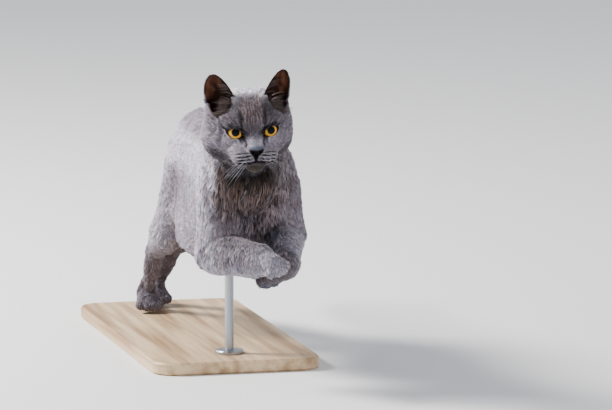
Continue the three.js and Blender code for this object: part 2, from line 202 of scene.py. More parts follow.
def spread(values, edges, times, share=0.5):
    """Each value moves towards the mean of its neighbours, this many times."""
    count = len(values)
    ends = np.concatenate([edges[:, 0], edges[:, 1]])
    others = np.concatenate([edges[:, 1], edges[:, 0]])
    degree = np.maximum(np.bincount(ends, minlength=count), 1)
    flat = values.reshape(count, -1).copy()
    for _ in range(times):
        for k in range(flat.shape[1]):
            mean = np.bincount(ends, weights=flat[others, k], minlength=count) / degree
            flat[:, k] += share * (mean - flat[:, k])
    return flat.reshape(values.shape)


def rounded(points, edges, times):
    """Smoothed points that keep their volume."""
    for _ in range(times):
        points = spread(points, edges, 1, 0.55)
        points = spread(points, edges, 1, -0.57)
    return points


def face_normals(points, faces):
    a, b, c = (points[faces[:, k]] for k in range(3))
    return np.cross(b - a, c - a)  # as long as twice the face's area


def facing_out(points, faces):
    """A closed surface with its triangles all turned to face outward."""
    faces = np.array(faces)
    inward = np.sum(points[faces[:, 0]] * face_normals(points, faces)) < 0
    return points, faces[:, ::-1] if inward else faces


def point_normals(points, faces):
    across = face_normals(points, faces)
    total = np.zeros_like(points)
    for k in range(3):
        for axis in range(3):
            total[:, axis] += np.bincount(faces[:, k], across[:, axis], len(points))
    return unit(total)


def store(layer, key, values, kind=np.float32):
    layer.foreach_set(key, np.asarray(values).astype(kind).ravel())


def placed(name, data):
    """A new object in the scene."""
    made = bpy.data.objects.new(name, data)
    bpy.context.scene.collection.objects.link(made)
    return made


def new_object(name, points, faces, material=None):
    """An object of triangles, from millimetres."""
    mesh = bpy.data.meshes.new(name)
    mesh.vertices.add(len(points))
    store(mesh.vertices, "co", np.asarray(points) * MM)
    mesh.loops.add(faces.size)
    store(mesh.loops, "vertex_index", faces, np.int32)
    mesh.polygons.add(len(faces))
    store(mesh.polygons, "loop_start", range(0, faces.size, 3), np.int32)
    store(mesh.polygons, "use_smooth", np.ones(len(faces)), bool)
    mesh.update(calc_edges=True)
    if material:
        mesh.materials.append(material)
    return placed(name, mesh)


def arrays_of(mesh):
    """A mesh's points, in millimetres, and its triangles."""
    points = np.empty(len(mesh.vertices) * 3, dtype=np.float32)
    mesh.vertices.foreach_get("co", points)
    mesh.calc_loop_triangles()
    faces = np.empty(len(mesh.loop_triangles) * 3, dtype=np.int32)
    mesh.loop_triangles.foreach_get("vertices", faces)
    return points.reshape(-1, 3).astype(float) / MM, faces.reshape(-1, 3)


def cad_arrays(name):
    """A CAD node's points and triangles, with the points that coincide made one."""
    points, faces = arrays_of(nodes[name].data)
    near = np.round(points, 2)
    _, first, same = np.unique(near, axis=0, return_index=True, return_inverse=True)
    return points[first], same.reshape(-1)[faces]


def joined(parts):
    """Several (points, faces) as one."""
    points, faces, count = [], [], 0
    for p, f in parts:
        points.append(np.asarray(p, float))
        faces.append(np.asarray(f) + count)
        count += len(p)
    return np.concatenate(points), np.concatenate(faces)


def drop(*objects):
    for made in objects:
        mesh = made.data
        bpy.data.objects.remove(made)
        bpy.data.meshes.remove(mesh)


def applied(made):
    """The object's mesh with its modifiers applied."""
    graph = bpy.context.evaluated_depsgraph_get()
    return bpy.data.meshes.new_from_object(made.evaluated_get(graph))


def boolean(surface, tool, operation):
    """One closed surface joined with another, or cut by it."""
    made, cutter = new_object("surface", *surface), new_object("tool", *tool)
    modifier = made.modifiers.new("boolean", "BOOLEAN")
    modifier.operation, modifier.object, modifier.solver = operation, cutter, "MANIFOLD"
    mesh = applied(made)
    result = arrays_of(mesh)
    drop(made, cutter)
    bpy.data.meshes.remove(mesh)
    return result


def grid_faces(rows, columns, wrap):
    """Triangles of a grid of points, row by row. Its columns may close in a ring."""
    last = columns if wrap else columns - 1
    faces = []
    for j in range(rows - 1):
        for i in range(last):
            a, b = j * columns + i, j * columns + (i + 1) % columns
            faces += [(a, b, b + columns), (a, b + columns, a + columns)]
    return faces


def ball(centre, sizes, rows=24, columns=36):
    """A closed ellipsoid."""
    tall = np.linspace(0, np.pi, rows)[1:-1]
    turn = np.arange(columns) / columns * 2 * np.pi
    rings = [
        [math.sin(t) * math.cos(a), math.sin(t) * math.sin(a), math.cos(t)]
        for t in tall
        for a in turn
    ]
    points = np.array(rings + [[0, 0, 1], [0, 0, -1]]) * sizes + centre
    ring_count = len(tall)
    faces = [f[::-1] for f in grid_faces(ring_count, columns, True)]
    top, bottom, low = ring_count * columns, ring_count * columns + 1, (ring_count - 1) * columns
    for i in range(columns):
        j = (i + 1) % columns
        faces += [(top, i, j), (bottom, low + j, low + i)]
    return points, np.array(faces)


# ---- the head's flesh


def head_masses():
    """The head's flesh out to the tips of its coat, in its own frame."""
    skull = blend(
        8,
        *both(lambda s: egg([s * 11, -33, 6], [31, 44, 34])),  # cranium
        egg([0, -6, 12], [26, 22, 18]),  # forehead
        *both(lambda s: bone([s * 35, -24, 6], [s * 36, -27, 19], 13, 11)),  # ear roots
        *both(lambda s: egg([s * 30, -33, -9], [20.5, 30, 27])),  # cheeks
        *both(lambda s: egg([s * 20, -7, -12], [17, 19, 16])),  # cheekbones
        *both(lambda s: egg([s * 11, 4, -17], [14, 17, 14])),  # root of the muzzle
        egg([0, -22, -26], [27, 30, 18]),  # jaw
        *both(lambda s: bone([s * 9.5, 6, 8], [s * 27, -2.5, 12.5], 6.5, 6.5)),  # brows
    )
    muzzle = blend(
        4,
        bone([0, 0, 4], [0, 19, -11], 9.5, 8.2),  # nose bridge
        *both(lambda s: egg([s * 11.5, 14, -25.5], [12.5, 13.5, 9.5])),  # whisker pads
        egg([0, 13, -35], [10.5, 12, 8]),  # chin
        egg([0, 25.2, -15.2], [7.6, 6.5, 5.2]),  # nose
        *both(lambda s: egg([s * 5, 25.5, -16.4], [3.6, 4.6, 3.2])),  # wings of the nostrils
    )
    lids = both(lambda s: egg(eye_centre(s), [EYE_RADIUS + 2.2] * 3))
    sockets = both(lambda s: egg([s * 19, 19, 0], [12, 10, 8]))
    return blend(6, blend(11, dent(6, skull, *sockets), muzzle), *lids)


def head_field():
    """The head with the neck behind it, among points of the whole frame."""
    masses = head_masses()
    neck_from, neck_to, ruff = [-2, -257, 236], [-18, -323, 280], [-12, -301, 232]
    neck = blend(14, bone(neck_from, neck_to, 48, 41), egg(ruff, [38, 30, 40]))
    return blend(12, neck, lambda p: masses(to_head(p)))


EAR_FOOT, EAR_SKULL, EAR_TIP = 8, 24, 60
EAR_OPEN = math.radians(22)  # how far each ear is turned outward
EAR_CUP = 1.05  # how deep the cup is for its half width
EAR_OUT = {-1: (27.5, 11.5), 1: (25.4, 10)}  # by side: at the skull, and how much more at the tip


def ear_section(z, s):
    """How far up an ear a height is, its half width there, and how far out its axis is."""
    share = np.clip((z - EAR_SKULL) / (EAR_TIP - EAR_SKULL), 0, 1)
    middle_out, lean = EAR_OUT[s]
    return share, 15.2 * (1 - share**2.1) ** 0.62 + 1, middle_out + lean * share


def ear_points(s, across, up, back, trim=0.0):
    """The places on an ear's sheet at shares of the way across, from its inner rim, and up it."""
    z = mix(EAR_FOOT, EAR_TIP, up)
    share, half, axis = ear_section(z, s)
    half = half - trim
    wall = back * (2.4 - 1.3 * share)
    bend = math.radians(80) * (2 * across - 1)
    x, y = np.sin(bend) * (half + wall), -np.cos(bend) * (half * EAR_CUP + wall)
    outward = x * math.cos(EAR_OPEN) - y * math.sin(EAR_OPEN)
    forward = -x * math.sin(EAR_OPEN) + y * math.cos(EAR_OPEN)
    return np.stack([s * (axis + outward), -19 + forward, z], axis=-1)


def ear_places(q):
    """For points in the head's frame: how far out from the ear's hollow side they are, the angle
    round the cup from its back, outward, and how far up the ear."""
    right = ear_section(q[:, 2], 1)
    left = ear_section(q[:, 2], -1)
    share, half, axis = (np.where(q[:, 0] > 0, one, other) for one, other in zip(right, left))
    out, forward = abs(q[:, 0]) - axis, q[:, 1] + 19
    c, n = math.cos(EAR_OPEN), math.sin(EAR_OPEN)
    x = (out * c + forward * n) / (c * c - n * n)
    y = (out * n + forward * c) / (c * c - n * n) / EAR_CUP
    return np.hypot(x, y) - half, np.degrees(np.arctan2(x, -y)), share


def ear(side):
    """A closed cupped sheet, open to the front."""
    rows, columns = 44, 36
    across, up = np.meshgrid(np.linspace(0, 1, columns), np.linspace(0, 1, rows))
    hollow = ear_points(side, across.ravel(), up.ravel(), 0, 0.4)
    outside = ear_points(side, across.ravel(), up.ravel(), 1, 0.9)
    points = np.concatenate([hollow, outside])
    count = rows * columns
    inner = grid_faces(rows, columns, False)
    faces = [f[::-1] for f in inner] + [(a + count, b + count, c + count) for a, b, c in inner]
    rim = [j * columns for j in range(rows)]
    rim += [(rows - 1) * columns + i for i in range(1, columns)]
    rim += [j * columns + columns - 1 for j in range(rows - 2, -1, -1)]
    rim += [i for i in range(columns - 2, 0, -1)]
    for a, b in zip(rim, rim[1:] + rim[:1]):
        faces += [(b, a, a + count), (b, a + count, b + count)]
    points, faces = facing_out(points, faces)
    return from_head(points), faces


# ---- the paws

# Each paw's joints with the coat's radius round them, the way its sole faces, the way its toes
# head where that isn't on from the last two joints, and the toes' length.
PAWS = {
    "forepaw_right": ([(-10.5, -349, 146, 17.3), (-1, -365, 143, 13.5)], (0.1, 0.5, -1), None, 15),
    "forepaw_left": ([(24.5, -325, 137, 16.2), (14, -314, 125, 13.5)], (-0.5, 0.4, -1), None, 15),
    "hindpaw_right": ([(-27, 145, 35, 11.5), (-27, 137, 29, 11)], (0, 0, -1), (0, -1, -0.3), 14),
    "hindpaw_left": ([(-8, 185, 35, 12), (-8, 177, 29, 11)], (0, 0, -1), (0, -1, -0.3), 14),
}
BASE_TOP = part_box("stand_base")[1][2] / MM


def paw_axes(paw):
    """A paw's knuckles, and the ways forward, down and across it."""
    joints, sole, heading, _ = PAWS[paw]
    before, knuckles = (np.array(joint[:3], float) for joint in joints)
    forward = unit(np.array(heading, float)) if heading else unit(knuckles - before)
    down = np.array(sole, float)
    down = unit(down - (down @ forward) * forward)
    return knuckles, forward, down, np.cross(forward, down)


def toe_ends(paw):
    """Each toe's root and tip."""
    knuckles, forward, down, across = paw_axes(paw)
    ends = []
    for n in (-1.5, -0.5, 0.5, 1.5):
        reach = PAWS[paw][3] * (0.72 if abs(n) > 1 else 1)
        tip = knuckles + across * n * 7.2 + forward * reach + down * 2.5
        ends.append((knuckles + across * n * 4, tip))
    return ends


def pads(paw):
    """The middle and radius of each bare pad under a paw."""
    knuckles, forward, down, _ = paw_axes(paw)
    under = [(tip + down * 3.9 - forward * 0.5, 3.9) for _, tip in toe_ends(paw)]
    return under + [(knuckles + down * 7.4 + forward * 2, 6.8)]


def paw_field(paw):
    joints = PAWS[paw][0]
    (start, start_radius), (end, end_radius) = ((joint[:3], joint[3]) for joint in joints)
    toes = blend(2.4, *(bone(root, tip, 7.3, 6.4) for root, tip in toe_ends(paw)))
    foot = blend(6, bone(start, end, start_radius, end_radius), toes)
    return blend(1.5, foot, *(egg(centre, [radius] * 3) for centre, radius in pads(paw)))


def toes_drawn(points, depth):
    """The skin of the paws drawn onto their own smooth shape, less the coat's depth."""
    for paw in PAWS:
        knuckles, forward, _, _ = paw_axes(paw)
        away = points - knuckles
        weight = rise(-12, 2, away @ forward) * rise(46, 36, norms(away))
        points = projected(points, paw_field(paw), -depth, weight * (nearest_paw(points) == paw))
    low = on_paws(points) & (points[:, 2] < BASE_TOP + 0.4)
    points[low, 2] = BASE_TOP + 0.4
    return points


def nearest_paw(points):
    """The name of the paw whose toes each point is nearest."""
    fields = [blend(1, *(bone(root, tip, 7, 7) for root, tip in toe_ends(paw))) for paw in PAWS]
    return np.array(list(PAWS))[np.argmin([field(points) for field in fields], axis=0)]


def pad_share(points):
    """1 on the bare pads under the paws."""
    share = np.zeros(len(points))
    for paw in PAWS:
        _, _, down, _ = paw_axes(paw)
        for centre, radius in pads(paw):
            away = points - centre
            close = rise(radius + 0.2, radius - 0.9, norms(away))
            share = np.maximum(share, close * rise(-0.1, 0.25, unit(away) @ down))
    return share


# ---- the skin

GROWN = 1.0  # how far each solid is grown, so that neighbours overlap
VOXEL = 1.8


def rough_skin():
    """One surface round all the solids of flesh, as a bmesh of even quads."""
    parts = []
    for name in FLESH:
        points, faces = cad_arrays(name)
        parts.append((points + point_normals(points, faces) * GROWN, faces))
    made = new_object("flesh", *joined(parts))
    modifier = made.modifiers.new("remesh", "REMESH")
    modifier.mode, modifier.voxel_size = "VOXEL", VOXEL * MM
    mesh = applied(made)
    body = bmesh.new()
    body.from_mesh(mesh)
    drop(made)
    bpy.data.meshes.remove(mesh)
    return body


def split_where(body, chosen):
    """Halves the edges of the faces whose points are all chosen."""
    points = np.array([v.co for v in body.verts]) / MM
    keep = chosen(points)
    edges = [e for e in body.edges if keep[e.verts[0].index] and keep[e.verts[1].index]]
    bmesh.ops.subdivide_edges(body, edges=edges, cuts=1, use_grid_fill=True)
    body.verts.index_update()


def on_head(points):
    return norms((to_head(points) - [0, -16, 10]) / [64, 62, 70]) < 1


def on_face(points):
    x, y, z = to_head(points).T
    return (y > -4) & (abs(x) < 34) & (z > -48) & (z < 20)


def on_paws(points):
    inside = np.zeros(len(points), dtype=bool)
    for name in FLESH:
        if "paw" in name:
            low, high = corners(name)
            inside |= np.all((points > low - 3) & (points < high + 3), axis=1)
    return inside


def projected(points, field, level, weight, times=5):
    """Points drawn onto the field's surface at that level, as far as their weight says."""
    chosen = np.flatnonzero(weight > 0.001)
    moving, aim, share = points[chosen], level[chosen], column(weight[chosen])
    for _ in range(times):
        value = field(moving)
        slope = np.stack([field(moving + step) - value for step in np.eye(3) * 0.1], axis=1)
        steep = np.maximum(np.sum(slope * slope, axis=1), 1e-6)
        stride = column(np.clip((value - aim) * 0.1 / steep, -30, 30)) * slope
        moving = moving - share * stride
    result = points.copy()
    result[chosen] = moving
    return result


# ---- the coat's measures

# By kind of coat: the tufts' length and width, the gap between their roots, their lift off the
# skin in degrees, the coat's depth, and how much the tufts differ in shade.
LENGTH, WIDTH, GAP, LIFT, DEPTH, CONTRAST = range(6)
COAT = {
    "muzzle": (2.2, 0.5, 0.75, 14, 0.8, 0.8),
    "face": (4.4, 0.6, 0.85, 16, 1.2, 0.85),
    "head": (6.0, 0.8, 1.1, 16, 1.8, 0.9),
    "ear": (2.4, 0.5, 0.95, 12, 0.6, 0.8),
    "neck": (10.0, 1.05, 1.4, 17, 2.9, 1.1),
    "chest": (17.0, 1.25, 1.6, 22, 4.6, 2.1),
    "trunk": (9.0, 1.0, 1.45, 12, 2.7, 0.6),
    "belly": (11.0, 1.2, 1.7, 15, 3.4, 0.8),
    "upper": (8.5, 1.05, 1.45, 13, 2.4, 0.75),
    "lower": (6.5, 0.95, 1.38, 15, 1.8, 0.95),
    "paw": (4.0, 0.7, 1.05, 15, 1.2, 0.85),
    "tail": (9.0, 1.1, 1.5, 13, 2.8, 0.8),
}
ROD_DEPTH = 0.4  # the coat's depth round the top of the stand's rod
KINDS = {
    "head": "head", "neck": "neck", "trunk": "trunk",
    "tail": "tail", "upper": "upper", "thigh": "upper", "forearm": "lower",
    "shank": "lower", "metatarsus": "lower", "forepaw": "paw", "hindpaw": "paw",
}
NODE_KINDS = [KINDS[name.split("_")[0]] for name in FLESH]
CHAINS = [["tail_root", "tail_middle", "tail_tip"]]
for _side in SIDES:
    CHAINS.append([f"{part}_{_side}" for part in ("upper_arm", "forearm", "forepaw")])
    CHAINS.append([f"{part}_{_side}" for part in ("thigh", "shank", "metatarsus", "hindpaw")])


def node_index():
    """A search tree of all the flesh's CAD faces, and each face's node."""
    parts = [cad_arrays(name) for name in FLESH]
    owners = np.concatenate([np.full(len(faces), i) for i, (_, faces) in enumerate(parts)])
    points, faces = joined(parts)
    return BVHTree.FromPolygons(points.tolist(), faces.tolist()), owners


NODE_TREE, FACE_NODES = node_index()


def nearest_nodes(points):
    """Each point's nearest node, as its place in FLESH."""
    return FACE_NODES[[NODE_TREE.find_nearest(p)[2] for p in points.tolist()]]


def node_ways():
    """The way the coat lies on each node: towards the next one down the limb."""
    ways = {"head": [0, 0, 0], "neck": [0.05, 1, -0.6], "trunk": [0, 1, -0.4]}
    for chain in CHAINS:
        for k, name in enumerate(chain):
            after, before = chain[min(k + 1, len(chain) - 1)], chain[max(k - 1, 0)]
            ways[name] = unit(middle(after) - middle(before))
    return np.array([ways[name] for name in FLESH], float)


def coat_measures(points, normals, owners, edges):
    """Each point's row of COAT, blended between neighbours."""
    measures = np.array([COAT[kind] for kind in NODE_KINDS])[owners]
    q = to_head(points)
    trunk = np.isin(owners, [i for i, n in enumerate(FLESH) if n in ("trunk", "neck")])
    chest = trunk * rise(-245, -290, points[:, 1]) * rise(0.1, -0.5, normals[:, 1])
    belly = trunk * rise(160, 135, points[:, 2]) * rise(0, -0.5, normals[:, 2])
    measures = over(measures, (COAT["belly"], belly), (COAT["chest"], chest))
    measures = spread(measures, edges, 30)
    face = rise(-16, 6, q[:, 1]) * rise(60, 40, abs(q[:, 0])) * on_head(points)
    muzzle = rise(12, 22, q[:, 1]) * on_head(points)
    measures = over(measures, (COAT["face"], face), (COAT["muzzle"], muzzle))
    for s in SIDES.values():
        _, _, forward, distance = eye_places(q, s)
        lids = rise(EYE_RADIUS + 9, EYE_RADIUS + 4, distance) * (forward > 0)
        measures = over(measures, (COAT["muzzle"], lids))
    beyond, _, share = ear_places(q)
    ear_back = rise(0.02, 0.3, share) * (beyond < 6) * on_head(points)
    measures = over(measures, (COAT["ear"], ear_back))
    measures[:, DEPTH] = mix(measures[:, DEPTH], ROD_DEPTH, rod_nearness(points, 20, 8))
    return measures


def rod_nearness(points, far, near):
    """1 round the top of the stand's rod, under the belly, and 0 away from it."""
    low, high = corners("stand_rod")
    away = norms(points[:, :2] - ((low + high) / 2)[:2])
    return rise(far, near, away) * rise(high[2] + 30, high[2] + 15, points[:, 2])


def flattened(ways, normals):
    """Directions laid down along the surface."""
    return unit(ways - column(np.sum(ways * normals, axis=1)) * normals)


def coat_ways(points, normals, owners, edges):
    """The way the coat lies at each point, along the skin."""
    ways = node_ways()[owners]
    q = to_head(points)
    from_nose = unit(q - [0, 30, -14]) @ HEAD_AXES.T
    head = owners == FLESH.index("head")
    ways[head] = from_nose[head]
    chest = rise(-250, -290, points[:, 1]) * rise(0.1, -0.5, normals[:, 1]) * ~head
    down = np.stack([(points[:, 0] + 8) / 90, np.zeros(len(points)), -np.ones(len(points))], 1)
    ways = mix(ways, down, column(chest))
    return flattened(spread(flattened(ways, normals), edges, 24), normals)


# ---- markings


def colour(red, green, blue):
    """An sRGB colour of 0 to 255 as linear light."""
    srgb = np.array([red, green, blue]) / 255
    return np.where(srgb <= 0.04045, srgb / 12.92, ((srgb + 0.055) / 1.055) ** 2.4)


BLUE_GREY = colour(143, 136, 145)
BROWN_GREY = colour(106, 92, 92)
DARK_GREY = colour(77, 71, 73)
SILVER = colour(190, 186, 196)
PALE_SILVER = colour(222, 218, 224)
SLATE = colour(98, 102, 116)
CHIN = colour(78, 74, 63)
BROWN = colour(94, 77, 69)
EAR_BROWN = colour(122, 84, 68)
NEAR_BLACK = colour(16, 13, 13)
NOSE_HEIGHTS = [-27, -23, -20.5, -18.5, -15.5, -13.5, -12, -11]  # the leather's edge
NOSE_HALVES = [1.3, 2.8, 4.7, 6.4, 7.7, 7.7, 6.4, 0]  # and how far it is from the nose's middle


def markings_and_painted_light(points):
    """The coat's and the skin's colour at each point, with painted light and shade laid in."""
    q = to_head(points)
    head = on_head(points) * 1.0
    result = body_markings_and_painted_light(points, 1 - head)
    for lay in (face_markings_and_painted_light, muzzle_markings_and_painted_light, eye_markings_and_painted_shadow, ear_markings_and_painted_shade):
        result = lay(result, q, head)
    return over(result, (SLATE * 0.55, pad_share(points)))


def body_markings_and_painted_light(points, body):
    """Blue-grey, browner in soft patches and on the flanks, with painted light and shade: painted
    sheen makes the shoulders, the outer sides and the haunches silvery, the middle of the flanks is
    darker as painted shade, the brown chest darkens towards the head as painted shade, and painted
    shadow lies on the throat, in a hollow beside the chest, between the forelegs and on the hind
    legs."""
    x, y, z = points.T
    brown = 0.3 * rise(-0.2, 0.9, waves(points, 95, 21))
    # the middle of the flank: browner, and darker as painted shade
    flank = rise(1.2, 0.3, np.hypot((y + 95) / 90, (z - 180) / 55) + 0.2 * waves(points, 40, 22))
    # painted sheen: the shoulders, the outer sides (more on the right) and the haunches made silvery
    shoulder = 1.6 * rise(200, 228, z) * rise(262, 248, z) * rise(40, 10, x)
    outer = rise(36, 56, mix(abs(x), -x, 0.3)) * rise(95, 125, z) * rise(-60, -140, y)
    haunch = rise(28, 46, abs(x + 2)) * rise(85, 130, z) * rise(-110, -30, y)
    painted_sheen = np.maximum(np.maximum(shoulder, outer), haunch)
    front = body * rise(-232, -285, y)
    edge = x + 4 * waves(points, 22, 23)
    chest = front * rise(275, 255, z) * rise(148, 178, z) * rise(-54, -38, edge) * rise(64, 4, edge)
    # painted shade in a hollow beside the chest and between the forelegs
    hollow = norms((points - [-30, -322, 218]) / [1, 1.3, 1.5])
    shade_between_legs = norms(points - [16, -278, 158])
    # painted shadow on the throat, under the chin
    throat_shadow = front * rise(222, 238, z) * rise(275, 262, z) * rise(38, 14, abs(x + 12))
    # painted shade on the lower hind legs
    hind_leg_shade = body * rise(125, 85, z) * rise(-60, -10, y)
    result = over(
        np.tile(BLUE_GREY, (len(points), 1)),
        (BROWN_GREY, body * brown),
        (BROWN_GREY, 0.5 * body * flank),
        (SILVER, 0.6 * body * painted_sheen),
        # the brown chest, darker towards the head as painted shade
        (BROWN, mix(0.25, 0.9, rise(170, 225, z)) * chest),
        (NEAR_BLACK, 0.2 * front * rise(26, 8, hollow)),
        (NEAR_BLACK, 0.7 * rise(30, 10, shade_between_legs)),
        (NEAR_BLACK, 0.85 * throat_shadow),
        (DARK_GREY, 0.4 * hind_leg_shade),
    )
    return foreleg_tones_and_painted_light(result, points)


def foreleg_tones_and_painted_light(result, points):
    """Silvery forelegs: the right one darker on top and paler below behind its paw, with a painted
    highlight along the paw's end, and painted shadow on the left one where the right paw hides it
    and underneath."""
    wrist = PAWS["forepaw_right"][0][0][:3]
    knuckles, forward, _, _ = paw_axes("forepaw_right")
    axis = blend(
        1,
        bone(middle("forearm_right"), wrist, 0, 0),
        bone(wrist, knuckles + forward * 18, 0, 0),
    )
    owners = nearest_nodes(points)
    left, right = (
        np.isin(owners, [FLESH.index(f"{part}_{side}") for part in ("forearm", "forepaw")]) * 1.0
        for side in SIDES
    )
    z, ahead = points[:, 2], (points - knuckles) @ forward
    # nearness to the right paw, where it casts painted shadow on the left foreleg
    beyond = rise(52, 36, axis(points))
    behind = right * rise(-8, -22, ahead)
    return over(
        result,
        (SILVER, 0.35 * left * (1 - beyond) * rise(120, 140, z)),
        # painted shadow on the left foreleg, by the right paw and underneath
        (DARK_GREY, left * np.maximum(0.6 * beyond, 0.25 * rise(126, 104, z))),
        (DARK_GREY, 0.25 * behind * rise(136, 150, z)),
        (SILVER, 0.35 * behind * rise(146, 134, z)),
        # painted highlight along the right paw's end
        (SILVER, 0.45 * right * rise(-24, -8, ahead)),
    )


def face_markings_and_painted_light(result, q, head):
    """Brown forehead between two dark lines, dark temples, a silver bridge, a silver crown that is
    painted light on the head's top, and jowls darkened as painted shade.
    """
    x, y, z = abs(q[:, 0]), q[:, 1], q[:, 2]
    front = head * rise(-24, -6, y)
    side = rise(20, 32, x)
    temples = front * rise(-2 - 10 * side, 8 + 8 * side, z) * rise(40, 30, z) * mix(1, 0.6, side)
    forehead = front * rise(4, 14, z) * rise(42, 30, z) * rise(13, 9, x)
    ticks = forehead * rise(0.0, 0.9, waves(q * [1, 0.3, 0.2], 1.8, 31))
    line = np.exp(-(((x - 11.2 - 0.12 * (z - 5)) / 1.6) ** 2)) * rise(-1, 4, z) * rise(30, 16, z)
    bridge = front * rise(8.5, 5, x) * rise(-16, -11, z)
    return over(
        result,
        # painted light: the crown paler on the head's top
        (PALE_SILVER, 0.85 * head * rise(26, 36, z) * rise(36, 22, x)),
        (DARK_GREY, 0.75 * temples),
        (BROWN_GREY, 0.9 * forehead),
        (SILVER, 0.4 * ticks),
        (NEAR_BLACK, 0.75 * front * line),
        (DARK_GREY, 0.45 * bridge * rise(7, 3, z) * rise(-6, -1, z)),
        (SILVER, 0.7 * bridge * rise(-1, -9, z)),
        # painted shade: the jowls darkened under the cheeks
        (DARK_GREY, 0.9 * head * rise(-12, -24, z) * rise(17, 26, x) * rise(10, -4, y)),  # jowls
    )


def muzzle_markings_and_painted_light(result, q, head):
    """Pale whisker pads with dark rows, dark lips with painted shadow under the upper lip, a dark
    chin, painted shadow under the jaw, dark creases with painted shade in the brow's, and the nose's
    leather lightened on top as painted light.
    """
    x, y, z = abs(q[:, 0]), q[:, 1], q[:, 2]
    front = head * rise(-6, 4, y)
    pad = front * rise(3, 5, x) * rise(24, 19, x) * rise(-17.5, -20, z) * rise(-33, -30, z)
    rows = rise(0.35, 0.75, 0.5 + 0.5 * np.cos(2 * np.pi * (z + 0.1 * x + 0.4) / 3.4))
    # dark lips, with painted shadow under the upper lip
    lips = front * np.exp(-(((z + 30.5) / 1.7) ** 2)) * rise(24, 12, x)
    chin = head * rise(-31.0, -33.4, z) * rise(-34, -14, y)
    creases = {"philtrum": 1.0, "mouth": 1.0, "tear": 0.7, "brow": 0.7}
    return over(
        result,
        (DARK_GREY, 0.75 * pad),
        (SILVER, 0.6 * pad * (1 - rows)),
        (NEAR_BLACK, 0.8 * pad * rows * rise(4, 7, x) * rise(22, 17, x)),
        (NEAR_BLACK, 0.45 * lips),
        (DARK_GREY * 0.7, 0.8 * chin),
        (CHIN, 0.8 * chin * rise(10, 6, x)),
        # painted shadow under the jaw
        (NEAR_BLACK, 0.8 * head * rise(-37, -43, z) * rise(20, 10, y)),  # under the jaw
        # dark creases: the philtrum, mouth and tear lines dark, and the brow crease darkened as
        # painted shade
        *((NEAR_BLACK, share * crease_strength(q, name) * head) for name, share in creases.items()),
        # the nose's leather: slate on top, lightened there as painted light, and near-black below
        (mix(SLATE, NEAR_BLACK, column(rise(-13.4, -16.6, z - 0.15 * x))), nose_share(q)),
    )


def nose_share(q):
    """1 on the nose's leather: a rounded triangle that runs down into the lip's cleft."""
    x, y, z = q.T
    half = np.interp(z, NOSE_HEIGHTS, NOSE_HALVES)
    level = (z > NOSE_HEIGHTS[0]) & (z < NOSE_HEIGHTS[-1]) & (y > 20)
    return rise(0.5, -0.3, abs(x) - half) * level


def eye_markings_and_painted_shadow(result, q, head):
    """Black rims, dark over each eye with dark fur and painted shadow under the brow, and paler under
    it.
    """
    for s in SIDES.values():
        out, up, forward, distance = eye_places(q, s)
        above = up - lid_edge(out, 1)
        away = np.hypot(np.maximum(beyond_edges(out, up), 0), beyond_corners(out))
        near = (forward > 0) * (distance < EYE_RADIUS + 6) * head
        under = rise(5.5, 3.2, away) * rise(-1, -4, up) * rise(8, 5, abs(out))
        rim = np.where(above > 0, rise(2.4, 1.5, away), rise(1.4, 0.7, away))
        result = over(
            result,
            (SILVER, 0.35 * near * under),
            # dark fur and painted shadow under the brow, over the upper lid
            (NEAR_BLACK, 0.6 * near * rise(3.6, 1.4, away) * rise(0, 1, above)),
            (NEAR_BLACK, 0.95 * near * rim),
        )
    return result


def ear_markings_and_painted_shade(result, q, head):
    """Brown hollows, darker towards their inner sides and feet and near-black as painted shade in the
    bowl at each foot, with dark edges.
    """
    beyond, turn, share = ear_places(q)
    # painted shade in the bowl at the foot of each ear
    shaded_bowl = rise(1.12, 1.04, bowl_nearness(q))
    hollow = (beyond < -0.1) * rise(96, 86, abs(turn)) * rise(16, 20, q[:, 2]) * (q[:, 1] < -9)
    dark = np.maximum(0.8 * rise(40, -20, turn), rise(0.5, 0.15, share + 0.002 * turn))
    dark = np.maximum(dark, 0.6 * rise(0.6, 0.95, share)) + 0.25 * waves(q, 9, 41)
    dark = np.maximum(np.clip(dark, 0, 1), shaded_bowl)
    edge = (share > 0.05) * rise(70, 77, abs(turn)) * rise(92, 84, abs(turn)) * head
    return over(
        result,
        (mix(EAR_BROWN, NEAR_BLACK, column(0.85 * dark)), np.maximum(hollow, shaded_bowl) * head),
        (NEAR_BLACK, 0.8 * edge * (beyond < 1.0)),
        (PALE_SILVER, 0.8 * edge * rise(1.2, 1.9, beyond) * (beyond < 4)),
    )


# ---- eyes in the skin

LID_INNER, LID_OUTER = 10.2, 9.4  # from the middle of the opening to its corners
LID_ABOVE, LID_BELOW, LID_SLANT, EYE_OUTWARD = 1.2, 3.7, 18, 9
LID_THICK, LID_BARE = 1.3, 2.0  # how far the lids stand off the eyeball, and how wide they are bare


def eye_axes(s):
    """Outward along the lids, up, and the way the eye looks, in the head's frame."""
    turn, slant = math.radians(EYE_OUTWARD), math.radians(LID_SLANT)
    gaze = np.array([s * math.sin(turn), math.cos(turn), 0])
    level = np.array([s * math.cos(turn), -math.sin(turn), 0])
    outward = level * math.cos(slant) + UP * math.sin(slant)
    return outward, np.cross(gaze, outward) * -s, gaze


def eye_places(q, s):
    """Where points lie on the front of the eyeball: outward, up, forward and how far out."""
    outward, up, gaze = eye_axes(s)
    away = q - eye_centre(s)
    distance = norms(away)
    scale = EYE_RADIUS / np.maximum(distance, 1e-6)
    return away @ outward * scale, away @ up * scale, away @ gaze, distance


def beyond_corners(out):
    """How far past the corners of an eye a place along its lids is."""
    return np.maximum(abs(out + 0.6) - 9.7, 0)


